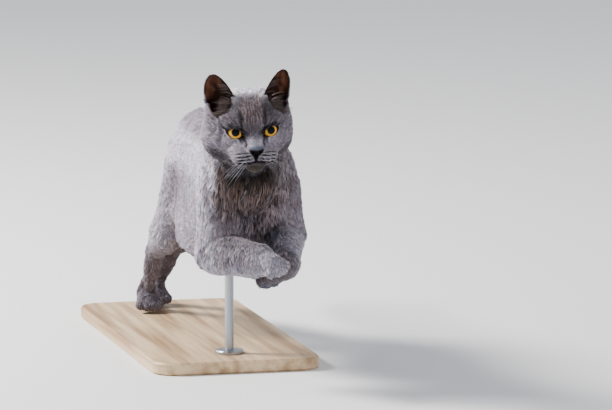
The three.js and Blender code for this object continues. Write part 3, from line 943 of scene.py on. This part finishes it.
def lid_edge(out, side):
    """The height of the lids' edge above the line between the corners, or below it."""
    reach = np.where(out > 0, LID_OUTER, LID_INNER)
    arch = np.clip(1 - (out / reach) ** 2, 0, 1)
    if side > 0:
        return LID_ABOVE * arch**0.8 * (1 + 0.1 * out / LID_OUTER)
    return -LID_BELOW * arch**0.75 * (1 + 0.05 * out / LID_OUTER)


def beyond_edges(out, up):
    """How far above the upper lid's edge a place is, or below the lower one's."""
    return np.maximum(up - lid_edge(out, 1), lid_edge(out, -1) - up)


def raised_lids(points, edges):
    """The skin drawn over the eyeballs, with a fold above each."""
    q = to_head(points)
    ledge = np.zeros(len(q))
    for s in SIDES.values():
        out, up, forward, distance = eye_places(q, s)
        away = np.hypot(np.maximum(beyond_edges(out, up), 0), beyond_corners(out))
        cover = EYE_RADIUS + LID_THICK + 0.25 * rise(0, 3, away)
        under_brow = np.where(up > lid_edge(out, 1), 0.6, 1.0)
        weight = rise(8.5, 2.0, away / under_brow) * (forward > 0) * (distance < EYE_RADIUS + 12)
        target = mix(distance, cover, weight)
        centre = eye_centre(s)
        q = centre + (q - centre) * column(target / np.maximum(distance, 1e-6))
        near = (forward > 0) * (distance < EYE_RADIUS + 10)
        ledge = np.maximum(ledge, near * rise(1.6, 3.0, away) * rise(13, 9, away))
    return from_head(mix(q, spread(q, edges, 10), column(ledge)))


def lid_opening(s):
    """A prism through the lids, in the shape of the open eye."""
    steps = 40
    across = np.linspace(-LID_INNER, LID_OUTER, steps), np.linspace(LID_OUTER, -LID_INNER, steps)
    out = np.concatenate([across[0], across[1][1:-1]])
    up = np.concatenate([lid_edge(out[:steps], 1), lid_edge(out[steps:], -1)])
    outward, upward, gaze = eye_axes(s)
    ring = eye_centre(s) + column(out) * outward + column(up) * upward
    points = np.concatenate([ring + gaze * 2, ring + gaze * 30])
    count = len(out)
    faces = []
    for i in range(count):
        j = (i + 1) % count
        faces += [(i, j, j + count), (i, j + count, i + count)]
    for i in range(1, count - 1):
        faces += [(0, i + 1, i), (count, count + i, count + i + 1)]
    points, faces = facing_out(points, faces)
    return from_head(points), faces


BOWL_MIDDLE = {1: [30.5, -15, 30], -1: [32.5, -15, 30]}
BOWL_SIZES, BOWL_LEAN = [11.5, 19.5, 16], 10  # its top leans outward


def ear_bowl(s):
    """The hollow at the foot of an ear's cup."""
    points, faces = ball([0, 0, 0], BOWL_SIZES, 20, 30)
    points = points @ turned("Y", BOWL_LEAN * s).T + np.array(BOWL_MIDDLE[s]) * [s, 1, 1]
    return from_head(points), faces


def bowl_nearness(q):
    """1 on the surface of an ear's bowl, and more outside it."""
    near = np.full(len(q), 9.0)
    for s in SIDES.values():
        away = (q - np.array(BOWL_MIDDLE[s]) * [s, 1, 1]) @ turned("Y", BOWL_LEAN * s)
        near = np.minimum(near, norms(away / BOWL_SIZES))
    return near


def nostril(s):
    """A bent hollow that opens forward and outward under the nose's wing."""
    points, faces = ball([0, 0, 0], [1.5, 3.2, 1.2], 12, 18)
    turn = turned("Z", -28 * s) @ turned("Y", 24 * s)
    return from_head(points @ turn.T + [s * 4.0, 29.8, -17.6]), faces


# Creases of the face: places (x, z) on its front, half-width and depth, the same on both sides.
CREASES = {
    "philtrum": ([(0, -19.5), (0, -28.5)], 1.0, 1.0),
    "mouth": ([(0, -28.8), (5, -29.4), (10, -29.8), (15, -30.0), (19, -29.6)], 1.1, 1.8),
    "tear": ([(9.5, -4), (9.0, -9), (9.5, -12)], 1.0, 0.7),
    "brow": ([(9, 2.0), (13, 4.6), (19, 7.0), (25, 8.4)], 1.2, 1.2),
}


def crease_strength(q, name):
    """How far each point in the head's frame is in a crease, from 0 to 1."""
    line, half, _ = CREASES[name]
    flat = np.stack([abs(q[:, 0]), q[:, 2], np.zeros(len(q))], axis=1)
    away = np.full(len(q), 99.0)
    for (x0, z0), (x1, z1) in zip(line, line[1:]):
        away = np.minimum(away, bone([x0, z0, 0], [x1, z1, 0], 0, 0)(flat))
    return np.exp(-((away / half) ** 2)) * (q[:, 1] > 0)


def creased(points, normals):
    """The folds of the face pressed into the skin."""
    q = to_head(points)
    for name, (_, _, depth) in CREASES.items():
        points = points - normals * column(depth * crease_strength(q, name))
    return points


def softened_cuts(points, faces):
    """The skin with the edges that cutting left on the head smoothed a little."""
    edges = edges_of(faces, len(points))
    q = to_head(points)
    beyond, _, share = ear_places(q)
    root = (beyond < 8) * rise(0.25, 0.1, share) * rise(4, 12, q[:, 2]) * (q[:, 1] < 8)
    soft = spread(points, edges, 4)
    return mix(points, soft, column(root * on_head(points)))


def skin_surface():
    """The skin: the solids' flesh made one, less the coat's depth, with its face worked in."""
    body = rough_skin()
    split_where(body, lambda p: on_head(p) | on_paws(p))
    split_where(body, on_face)
    bmesh.ops.triangulate(body, faces=body.faces[:])
    mesh = bpy.data.meshes.new("rough")
    body.to_mesh(mesh)
    body.free()
    points, faces = arrays_of(mesh)
    bpy.data.meshes.remove(mesh)
    edges = edges_of(faces, len(points))
    points = rounded(points, edges, 14)
    normals = point_normals(points, faces)
    owners = nearest_nodes(points)
    depth = coat_measures(points, normals, owners, edges)[:, DEPTH]
    smooth_normals = unit(spread(normals, edges, 6))
    points = points - smooth_normals * column(GROWN + depth)
    points = rounded(points, edges, 6)
    # The head is drawn onto its own smooth field, and the neck cut's side of it left as it is.
    behind = (points - [-15, -317, 276]) @ unit(np.array([0.12, 1, -0.42]))
    weight = rise(-6, -26, behind) * on_head(points)
    points = projected(points, head_field(), -depth, weight)
    points = toes_drawn(points, depth)
    points = spread(points, edges, 1, 0.5)
    points = raised_lids(points, edges)
    points = creased(points, point_normals(points, faces))
    eyeballs = [ball(centre, [EYE_RADIUS + 0.05] * 3, 48, 64) for centre in EYE_MIDDLES.values()]
    surface = points, faces
    for tools, operation in (
        (both(ear_bowl), "DIFFERENCE"),
        (both(ear), "UNION"),
        (eyeballs, "DIFFERENCE"),
        (both(lid_opening), "DIFFERENCE"),
        (both(nostril), "DIFFERENCE"),
    ):
        surface = boolean(surface, joined(tools), operation)
    return softened_cuts(*surface), surface[1]


# ---- materials


def set_inputs(node, values):
    for name, value in values.items():
        node.inputs[name].default_value = value


def add_node(tree, kind, values=None, **settings):
    """A shader node with its inputs and settings."""
    node = tree.nodes.new("ShaderNode" + kind)
    for name, value in settings.items():
        setattr(node, name, value)
    set_inputs(node, values or {})
    return node


def wire(tree, *joins):
    """Links nodes: each join is a node, its output, the node it feeds, and that one's input."""
    for source, output, target, fed in joins:
        tree.links.new(source.outputs[output], target.inputs[fed])


def node_material(name, roughness, tint=None):
    """A material, its nodes, and its shader."""
    material = bpy.data.materials.new(name)
    material.use_nodes = True
    tree = material.node_tree
    shader = tree.nodes["Principled BSDF"]
    set_inputs(shader, {"Roughness": roughness})
    if tint:
        set_inputs(shader, {"Base Color": (*colour(*tint), 1)})
    return material, tree, shader


def set_ramp(ramp, stops):
    """Gives a colour ramp its places and sRGB colours."""
    elements = ramp.color_ramp.elements
    while len(elements) < len(stops):
        elements.new(0.5)
    for element, (place, tint) in zip(elements, stops):
        element.position, element.color = place, (*colour(*tint), 1)


def bumped(tree, shader, source, strength, distance):
    """Bumps a shader by a noise's factor."""
    bump = add_node(tree, "Bump", {"Strength": strength, "Distance": distance})
    wire(tree, (source, "Fac", bump, "Height"), (bump, "Normal", shader, "Normal"))


def fur_material(name, sheen):
    """The marking's colours, varied in soft patches, with a fine grain."""
    material, tree, shader = node_material(name, 0.75)
    set_inputs(shader, {"Sheen Weight": sheen, "Sheen Roughness": 0.25})
    set_inputs(shader, {"Sheen Tint": (0.9, 0.88, 1.0, 1), "Specular IOR Level": 0.12})
    attribute = add_node(tree, "Attribute", attribute_name="marking")
    where = add_node(tree, "TexCoord")
    patch = add_node(tree, "TexNoise", {"Scale": 60, "Detail": 3})
    shade = add_node(tree, "MapRange", {"To Min": 0.8, "To Max": 1.2})
    vary = add_node(tree, "Mix", {"Factor": 1}, data_type="RGBA", blend_type="MULTIPLY")
    grain = add_node(tree, "TexNoise", {"Scale": 900})
    wire(
        tree,
        (where, "Object", patch, "Vector"),
        (patch, "Fac", shade, "Value"),
        (attribute, "Color", vary, "A"),
        (shade, "Result", vary, "B"),
        (vary, "Result", shader, "Base Color"),
        (where, "Object", grain, "Vector"),
    )
    bumped(tree, shader, grain, 0.5, 0.0006)
    return material


def paint(made, colours):
    """Gives an object's points their colours."""
    layer = made.data.color_attributes.new("marking", "FLOAT_COLOR", "POINT")
    rgba = np.concatenate([colours, np.ones((len(colours), 1))], axis=1)
    store(layer.data, "color", rgba)


# ---- the coat

TUFT_PATCH = 0.003  # each tuft's patch on its piece's unwrap
RING = 3  # a tuft has a ring of three points at its root and one half way up, and a tip
LOCK = 6  # tufts that gather into a lock, on average
FORE_BODY, CHEST_BACK, BELLY_TOP = -130, -262, 165  # where the coat's pieces part, y, y and z


def waves(points, length, seed):
    """A smooth random number from -1 to 1 at each point, that changes over about that length."""
    chance = np.random.default_rng(seed)
    total = np.zeros(len(points))
    for _ in range(6):
        way = unit(chance.normal(size=3))
        turns = points @ way * (2 * np.pi / length) * chance.uniform(0.7, 1.5)
        total += np.sin(turns + chance.uniform(0, 6))
    return total / 3


def roots(surface, measures, bare):
    """Tufts' roots, spread over the skin by area: the face each is on and its place in it."""
    points, faces = surface
    area = norms(face_normals(points, faces)) / 2
    gap = measures[faces, GAP].mean(axis=1)
    wanted = area / gap**2 * (1 - bare[faces].max(axis=1)) * 1
    total = np.cumsum(wanted)
    picks = np.arange(int(total[-1])) + random.random(int(total[-1]))
    chosen = np.minimum(np.searchsorted(total, picks), len(faces) - 1)
    a, b = random.random((2, len(chosen)))
    over_edge = a + b > 1
    a[over_edge], b[over_edge] = 1 - a[over_edge], 1 - b[over_edge]
    return chosen, np.stack([1 - a - b, a, b], axis=1)


def leaders(place):
    """For each tuft, the one that its lock gathers towards."""
    chosen = np.flatnonzero(random.random(len(place)) < 1 / LOCK)
    tree = KDTree(len(chosen))
    for i, spot in enumerate(place[chosen].tolist()):
        tree.insert(spot, i)
    tree.balance()
    return chosen[[tree.find(spot)[1] for spot in place.tolist()]]


def tufts(place, normal, way, measures, tint):
    """Closed, three-sided, curved tufts, gathered in locks: the points, shading normals and
    colours of each, and the triangles of one."""
    count = len(place)
    lead = leaders(place)
    shared = random.normal(size=(count, 4))[lead]  # the same chances all over a lock
    length, width, lift = measures[:, LENGTH], measures[:, WIDTH], np.radians(measures[:, LIFT])
    length = length * random.uniform(0.75, 1.15, count) * (1 + 0.1 * np.clip(shared[:, 0], -2, 2))
    width = width * random.uniform(0.75, 1.2, count)
    turn = 0.13 * waves(place, 17, 3) + 0.09 * shared[:, 1] + 0.07 * random.normal(size=count)
    side = unit(np.cross(normal, way))
    way = unit(way * column(np.cos(turn)) + side * column(np.sin(turn)))
    side = np.cross(normal, way)
    start = 1 + 0.25 * waves(place, 23, 5) + 0.25 * shared[:, 2] + 0.2 * random.normal(size=count)
    start = np.clip(lift * start, 0.03, 0.9)
    finish = -0.35 * start
    root = place - normal * column(np.minimum(0.35, 0.07 * length))
    step = column(length * 0.5)
    half = root + step * (column(np.cos(start)) * way + column(np.sin(start)) * normal)
    tip = half + step * (column(np.cos(finish)) * way + column(np.sin(finish)) * normal)
    apart = place - place[lead]
    near = rise(5, 3, norms(apart) / measures[:, GAP])
    pull = column(0.5 * near) * (tip[lead] + 0.35 * apart - tip)
    half, tip = half + 0.3 * pull, tip + pull
    w, thick = column(width / 2), column(width * 0.35)
    rings = [
        root - side * w, root + side * w, root + normal * thick,
        half - side * w * 0.9, half + side * w * 0.9, half + normal * thick,
        tip,
    ]
    shape = [(0, 2, 1)]
    for i in range(RING):
        j = (i + 1) % RING
        shape += [(i, j, j + RING), (i, j + RING, i + RING), (i + RING, j + RING, 2 * RING)]
    lean = side * 0.6
    up = normal + 0.22 * column(shared[:, 3]) * side + 0.15 * column(shared[:, 2]) * way
    shading = unit(np.stack([up - lean, up + lean, up] * 2 + [up + way * 0.3], axis=1))
    # each tuft darker at its root, as painted shade in the gaps between locks, and paler at its tip
    shade = np.array([0.42] * RING + [0.9] * RING + [1.45])
    own = 0.13 * shared[:, 0] + 0.17 * random.normal(size=count) + 0.06 * waves(place, 9, 8)
    own = np.clip(1 + measures[:, CONTRAST] * own, 0.35, 1.9)
    warm = column(0.03 * shared[:, 1] + 0.03 * random.normal(size=count)) * [1, 0, -1]
    tint = tint * column(own) * (1 + warm)
    colours = np.clip(tint[:, None, :] * shade[None, :, None], 0, 1)
    return np.stack(rings, axis=1), shading, colours, np.array(shape)


def unwrapped(points, faces):
    """The unwrap of a part of the skin: a place on it for each corner of each face."""
    used, faces = np.unique(faces, return_inverse=True)
    made = new_object("unwrap", points[used], faces.reshape(-1, 3))
    bpy.context.view_layer.objects.active = made
    bpy.ops.object.select_all(action="DESELECT")
    made.select_set(True)
    bpy.ops.object.mode_set(mode="EDIT")
    bpy.ops.mesh.select_all(action="SELECT")
    bpy.ops.uv.smart_project(angle_limit=math.radians(75), island_margin=0.004)
    bpy.ops.object.mode_set(mode="OBJECT")
    places = np.empty(len(made.data.loops) * 2, dtype=np.float32)
    made.data.uv_layers.active.data.foreach_get("uv", places)
    drop(made)
    return places.reshape(-1, 3, 2)


def patches(places, shares):
    """Each tuft's points, as a small patch at its root's place on the unwrap."""
    root = np.einsum("nk,nkd->nd", shares, places)
    half = TUFT_PATCH / 2
    low = [(-half, -half), (half, -half), (0, -half)]
    offsets = low + [(x * 0.9, 0) for x, _ in low] + [(0, half)]
    return (root[:, None, :] + np.array(offsets)[None]).reshape(-1, 2)


def coat_group(points, faces, owners):
    """The name of the coat piece that each face belongs to."""
    centre = points[faces].mean(axis=1)
    kinds = np.array(NODE_KINDS)[owners[faces[:, 0]]]
    fore, everywhere = centre[:, 1] < FORE_BODY, np.full(len(faces), True)
    names = np.where(fore, "shoulders_", "flank_").astype(object)
    names += np.where(centre[:, 0] > 0, "left", "right").astype(object)
    for name, kind, where in (
        ("belly", "trunk", centre[:, 2] < BELLY_TOP),
        ("chest", "trunk", centre[:, 1] < CHEST_BACK),
        ("neck", "neck", everywhere),
        ("tail", "tail", everywhere),
        ("crown", "head", everywhere),
        ("face", "head", to_head(centre)[:, 1] > -8),
        ("haunches", "upper", ~fore),
        ("upper_arms", "upper", fore),
        ("legs", "lower", ~fore),
        ("forearms", "lower", fore),
        ("paws", "paw", everywhere),
    ):
        names[(kinds == kind) & where] = name
    return names


def add_coat(surface):
    """The coat over the whole skin, in one piece for each part of the body."""
    points, faces = surface
    edges = edges_of(faces, len(points))
    normals = unit(spread(point_normals(points, faces), edges, 2))
    owners = nearest_nodes(points)
    measures = coat_measures(points, normals, owners, edges)
    ways = coat_ways(points, normals, owners, edges)
    chosen, shares = roots(surface, measures, bareness(points))
    everywhere = points, normals, ways, measures, markings_and_painted_light(points)
    spots, shading, colours, shape = tufts(
        *(np.einsum("nk,nkd->nd", shares, values[faces[chosen]]) for values in everywhere)
    )
    groups = coat_group(points, faces, owners)
    material = fur_material("coat", 0.3)
    for name in sorted(set(groups[chosen])):
        mine = groups[chosen] == name
        part = np.flatnonzero(groups == name)
        places = unwrapped(points, faces[part])
        first = np.arange(mine.sum()) * (2 * RING + 1)
        made_faces = (shape[None] + first[:, None, None]).reshape(-1, 3)
        made = new_object(f"coat_{name}", spots[mine].reshape(-1, 3), made_faces, material)
        uv = patches(places[np.searchsorted(part, chosen[mine])], shares[mine])
        layer = made.data.uv_layers.new(name="OFBake")
        store(layer.data, "uv", uv[made_faces.ravel()])
        made.data.normals_split_custom_set_from_vertices(shading[mine].reshape(-1, 3))
        paint(made, colours[mine].reshape(-1, 3))
        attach(made, "root")


def bareness(points):
    """1 where no coat grows: on the nose's leather and the pads, the lids' edges, inside the ears
    and round the top of the stand's rod."""
    q = to_head(points)
    bare = np.maximum(nose_share(q), pad_share(points))
    bare = np.maximum(bare, rod_nearness(points, 6.5, 5.5))
    for s in SIDES.values():
        out, up, forward, distance = eye_places(q, s)
        lid = np.maximum(beyond_edges(out, up), beyond_corners(out)) < LID_BARE
        bare = np.maximum(bare, lid * (forward > 0) * (distance < EYE_RADIUS + 4) * 1.0)
    beyond, turn, _ = ear_places(q)
    hollow = (beyond < -0.1) & (abs(turn) < 92) & (q[:, 2] > 16) & (q[:, 1] < -9)
    hollow |= bowl_nearness(q) < 1.04
    return np.maximum(bare, hollow * on_head(points) * 1.0)


# ---- building


def add_skin(surface):
    made = new_object("skin", *surface, fur_material("skin", 0.0))
    shade = mix(0.62, 1.0, bareness(surface[0]))  # darker where the coat shades it
    paint(made, markings_and_painted_light(surface[0]) * column(shade))
    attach(made, "root")
    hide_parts(*FLESH, "ear_left", "ear_right")


def eyeball(side, s):
    """An eyeball with the cornea's swell, and how far each of its points is from its axis."""
    rows, columns = 72, 96
    points, faces = ball([0, 0, 0], [1, 1, 1], rows, columns)
    off_axis = np.arccos(np.clip(points[:, 2], -1, 1))
    swell = 0.75 * rise(math.radians(50), math.radians(8), off_axis)
    polar = np.stack([np.sin(off_axis) * EYE_RADIUS / 10, points[:, 0], points[:, 1]], axis=1)
    polar[:, 1:] = unit(polar[:, 1:])
    polar[off_axis > math.pi / 2, 0] = 1.5
    _, _, gaze = eye_axes(s)
    gaze = unit(gaze + np.array(EYE_GAZE[side]))
    across = unit(np.cross(UP, gaze))
    ahead = points @ np.array([across, np.cross(gaze, across), gaze])
    return from_head(ahead * column(EYE_RADIUS + swell) + eye_centre(s)), faces, polar


EYE_GAZE = {"left": (0.0, 0, 0.12), "right": (-0.05, 0, 0.15)}  # added to the way each looks


def eye_material():
    """Black pupil, streaked golden iris and a dark rim, under a wet clear surface."""
    material, tree, shader = node_material("eye", 0.45)
    set_inputs(shader, {"Specular IOR Level": 0.05, "Coat Weight": 0.35, "Coat Roughness": 0.02})
    polar = add_node(tree, "Attribute", attribute_name="polar")
    apart = add_node(tree, "SeparateXYZ")
    stretch = add_node(tree, "VectorMath", {1: (1.2, 5, 5)}, operation="MULTIPLY")
    streaks = add_node(tree, "TexNoise", {"Scale": 2.2, "Detail": 4})
    wander = add_node(tree, "Math", {1: 0.14}, operation="MULTIPLY_ADD")
    ramp = add_node(tree, "ValToRGB")
    set_ramp(ramp, [
        (0.00, (3, 3, 4)), (0.43, (3, 3, 4)), (0.46, (96, 64, 22)), (0.52, (204, 158, 76)),
        (0.68, (224, 177, 90)), (0.81, (186, 132, 60)), (0.88, (84, 54, 22)), (0.93, (12, 10, 9)),
    ])
    wire(
        tree,
        (polar, "Vector", apart, "Vector"),
        (polar, "Vector", stretch, 0),
        (stretch, "Vector", streaks, "Vector"),
        (streaks, "Fac", wander, 0),
        (apart, "X", wander, 2),
        (wander, "Value", ramp, "Fac"),
        (ramp, "Color", shader, "Base Color"),
    )
    return material


def add_eyes():
    material = eye_material()
    for side, s in SIDES.items():
        points, faces, polar = eyeball(side, s)
        made = new_object(f"eyeball_{side}", points, faces, material)
        layer = made.data.attributes.new("polar", "FLOAT_VECTOR", "POINT")
        store(layer.data, "vector", polar)
        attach(made, "root")
        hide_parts(f"eye_{side}")


CLAW_LENGTH, CLAW_RADIUS, WHISKER_RADIUS, EAR_HAIR_RADIUS = 5.6, 0.8, 0.12, 0.17


def strands(root, way, length, radius, droop, steps=9, sides=4):
    """Thin curved tapering hairs, each a closed tube, in one mesh. Droop is the way they bend."""
    along = np.linspace(0, 1, steps)
    side = unit(np.cross(way, UP + [0.01, 0.02, 0]))
    above = np.cross(side, way)
    parts = []
    for k in range(len(root)):
        spine = root[k] + np.outer(along, way[k]) * length[k]
        spine = spine + np.outer(along**2, droop[k]) * length[k]
        points = []
        for j in range(steps - 1):
            thick = radius * (1 - along[j]) ** 0.7
            for i in range(sides):
                a = 2 * math.pi * i / sides
                points.append(spine[j] + thick * (math.cos(a) * side[k] + math.sin(a) * above[k]))
        points += [spine[-1], spine[0]]
        faces = grid_faces(steps - 1, sides, True)
        last, tip = (steps - 2) * sides, (steps - 1) * sides
        for i in range(sides):
            j = (i + 1) % sides
            faces += [(last + i, last + j, tip), (tip + 1, j, i)]
        parts.append((points, faces))
    return joined(parts)


def add_claws():
    """A short hooked claw that shows at the end of each toe."""
    root, way, droop = [], [], []
    for paw in PAWS:
        _, forward, down, _ = paw_axes(paw)
        for _, tip in toe_ends(paw):
            root.append(tip + forward * 2.6)
            way.append(unit(forward + 0.25 * down))
            droop.append(0.55 * down)
    length = np.full(len(root), CLAW_LENGTH)
    shape = strands(np.array(root), np.array(way), length, CLAW_RADIUS, np.array(droop), 9, 8)
    made = new_object("claws", *shape, node_material("claw", 0.3, (120, 110, 106))[0])
    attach(made, "root")


def skin_point(tree, q):
    """The place on the skin nearest a point of the head's frame."""
    found = tree.find_nearest(from_head(np.array(q, float)).tolist())[0]
    return np.array(found)


def add_whiskers(surface):
    """Rows of whiskers on each side of the muzzle, and a few stiff hairs over each eye."""
    tree = BVHTree.FromPolygons(surface[0].tolist(), surface[1].tolist())
    chance = np.random.default_rng(5)
    root, way, length, droop = [], [], [], []
    for s in SIDES.values():
        for row in range(4):
            for k in range(3 if row in (1, 2) else 2):
                place = [s * (9 + 3.6 * k), 24 - 2.6 * k, -21 - 3.2 * row - 0.4 * k]
                root.append(skin_point(tree, place))
                way.append([s * 1, 0.3 - 0.16 * k, -0.12 - 0.28 * row + chance.normal(0, 0.08)])
                length.append(chance.uniform(28, 42) * (1 - 0.12 * abs(row - 1)))
                droop.append([0, -0.25, -0.3])
        for k in range(2):
            root.append(skin_point(tree, [s * (15 + 4 * k), 12, 9.5]))
            way.append([s * (0.3 + 0.25 * k), 0.5, 1])
            length.append(chance.uniform(9, 14))
            droop.append([s * 0.25, -0.3, 0])
    way, droop = unit(np.array(way)) @ HEAD_AXES.T, np.array(droop) @ HEAD_AXES.T
    shape = strands(np.array(root), way, np.array(length), WHISKER_RADIUS, droop)
    made = new_object("whiskers", *shape, node_material("whisker", 0.35, (176, 174, 180))[0])
    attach(made, "root")


def add_ear_hair():
    """Locks of hair from the inner edge and the front lip of each ear, swept outward across it."""
    chance = np.random.default_rng(8)
    locks, hairs = 24, 6
    parts = []
    for s in SIDES.values():
        up = chance.uniform(0.0, 0.62, locks)
        inner = ear_points(s, np.full(locks, 0.03), 0.15 + up, 0.0)
        around = chance.uniform(0, 1, locks)
        middle_out = BOWL_MIDDLE[s][0]
        lip = np.stack(
            [s * (middle_out - 12 + 17 * around), -1.5 - 7 * around**2, 22 - 8 * around], 1
        )
        deep = np.stack(
            [s * (middle_out - 10 + 4 * around), -5 - 4 * around, chance.uniform(15, 38, locks)], 1
        )
        for root, lie, droop, lengths in (
            (deep, [0.93, -0.05, 0.3], [0.05, -0.1, -0.25], (12, 18)),
            (inner, [0.85, 0.12, 0.5], [0.1, -0.25, -0.35], (9, 15)),
            (lip, [0.7, -0.05, 0.72], [0.35, -0.15, -0.45], (9, 16)),
        ):
            shared = chance.normal(0, 0.14, (locks, 3))
            length = chance.uniform(*lengths, locks)
            for _ in range(hairs):
                start = root + chance.normal(0, 0.4, (locks, 3))
                way = unit(np.array(lie) + shared + chance.normal(0, 0.05, (locks, 3)))
                way, bend = way * [s, 1, 1], np.tile(np.array(droop) * [s, 1, 1], (locks, 1))
                share = chance.uniform(0.7, 1.0, locks)
                way, bend, start = way @ HEAD_AXES.T, bend @ HEAD_AXES.T, from_head(start)
                parts.append(strands(start, way, length * share, EAR_HAIR_RADIUS, bend, 6, 3))
    material = node_material("ear_hair", 0.6, (104, 92, 88))[0]
    made = new_object("ear_hair", *joined(parts), material)
    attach(made, "root")


def camera():
    """The photographer's place: far off, a little above, and a little to the cat's right."""
    azimuth, elevation, away = math.radians(-14), math.radians(8), 5500
    level = math.cos(elevation)
    back = np.array([math.sin(azimuth) * level, -math.cos(azimuth) * level, math.sin(elevation)])
    aim = HEAD_MIDDLE + [68.6, 35.5, -87.2]  # so that the cat stands left in the frame
    data = bpy.data.cameras.new("camera")
    data.lens, data.sensor_width, data.clip_end = 300, 36, 100
    made = placed("camera", data)
    made.location = Vector((aim + back * away) * MM)
    made.rotation_euler = Vector(back).to_track_quat("Z", "Y").to_euler()
    bpy.context.scene.camera = made


def stretched_noise(tree, scale, stretch, detail):
    """Noise drawn out along an object's axes."""
    where = add_node(tree, "TexCoord")
    squeeze = add_node(tree, "Mapping", {"Scale": stretch})
    noise = add_node(tree, "TexNoise", {"Scale": scale, "Detail": detail})
    wire(tree, (where, "Object", squeeze, "Vector"), (squeeze, "Vector", noise, "Vector"))
    return noise


def wood():
    """Oiled pale oak with its grain along the base."""
    material, tree, shader = node_material("wood", 0.5)
    grain = stretched_noise(tree, 70, (1, 0.06, 1), 6)
    ramp = add_node(tree, "ValToRGB")
    set_ramp(ramp, [(0.34, (156, 128, 98)), (0.62, (204, 182, 150))])
    wire(tree, (grain, "Fac", ramp, "Fac"), (ramp, "Color", shader, "Base Color"))
    bumped(tree, shader, grain, 0.25, 0.0004)
    return material


def steel():
    """Brushed steel, its marks round the rod."""
    material, tree, shader = node_material("steel", 0.34)
    set_inputs(shader, {"Metallic": 1, "Base Color": (0.42, 0.43, 0.45, 1)})
    bumped(tree, shader, stretched_noise(tree, 60, (1, 1, 40), 3), 0.2, 0.0002)
    return material


def finish_stand():
    for name, material in (("stand_base", wood()), ("stand_rod", steel())):
        for slot in nodes[name].material_slots:
            slot.material = material


def area_light(name, place, aim, size, power, tint, glints):
    data = bpy.data.lights.new(name, "AREA")
    data.energy, data.size, data.color = power, size, tint
    made = placed(name, data)
    made.location, made.visible_glossy = place, glints
    made.rotation_euler = (Vector(place) - Vector(aim)).to_track_quat("Z", "Y").to_euler()


FLOOR_REACH = 12000.0  # from the middle to each edge


def studio():
    """Plain soft light and a pale floor."""
    world = bpy.data.worlds.new("studio")
    world.use_nodes = True
    sky = world.node_tree.nodes["Background"]
    set_inputs(sky, {"Color": (0.9, 0.93, 1.0, 1), "Strength": 0.7})
    bpy.context.scene.world = world
    bpy.context.scene.view_settings.look = "AgX - Medium High Contrast"
    aim = (0, -0.15, 0.2)
    area_light("key", (-2.2, 0.9, 2.1), aim, 0.9, 195, (1, 0.97, 0.95), True)
    area_light("low", (1.2, -2.9, 0.3), aim, 1.0, 27, (1, 0.97, 0.94), False)
    square = np.array([[-1, -1, 0], [1, -1, 0], [1, 1, 0], [-1, 1, 0]]) * FLOOR_REACH
    material, _, shader = node_material("floor", 0.8)
    set_inputs(shader, {"Base Color": (0.75, 0.75, 0.74, 1)})
    floor = new_object("floor", square, np.array([[0, 1, 2], [0, 2, 3]]), material)


skin = skin_surface()
add_skin(skin)
add_coat(skin)
add_eyes()
add_claws()
add_whiskers(skin)
add_ear_hair()
finish_stand()
camera()
studio()
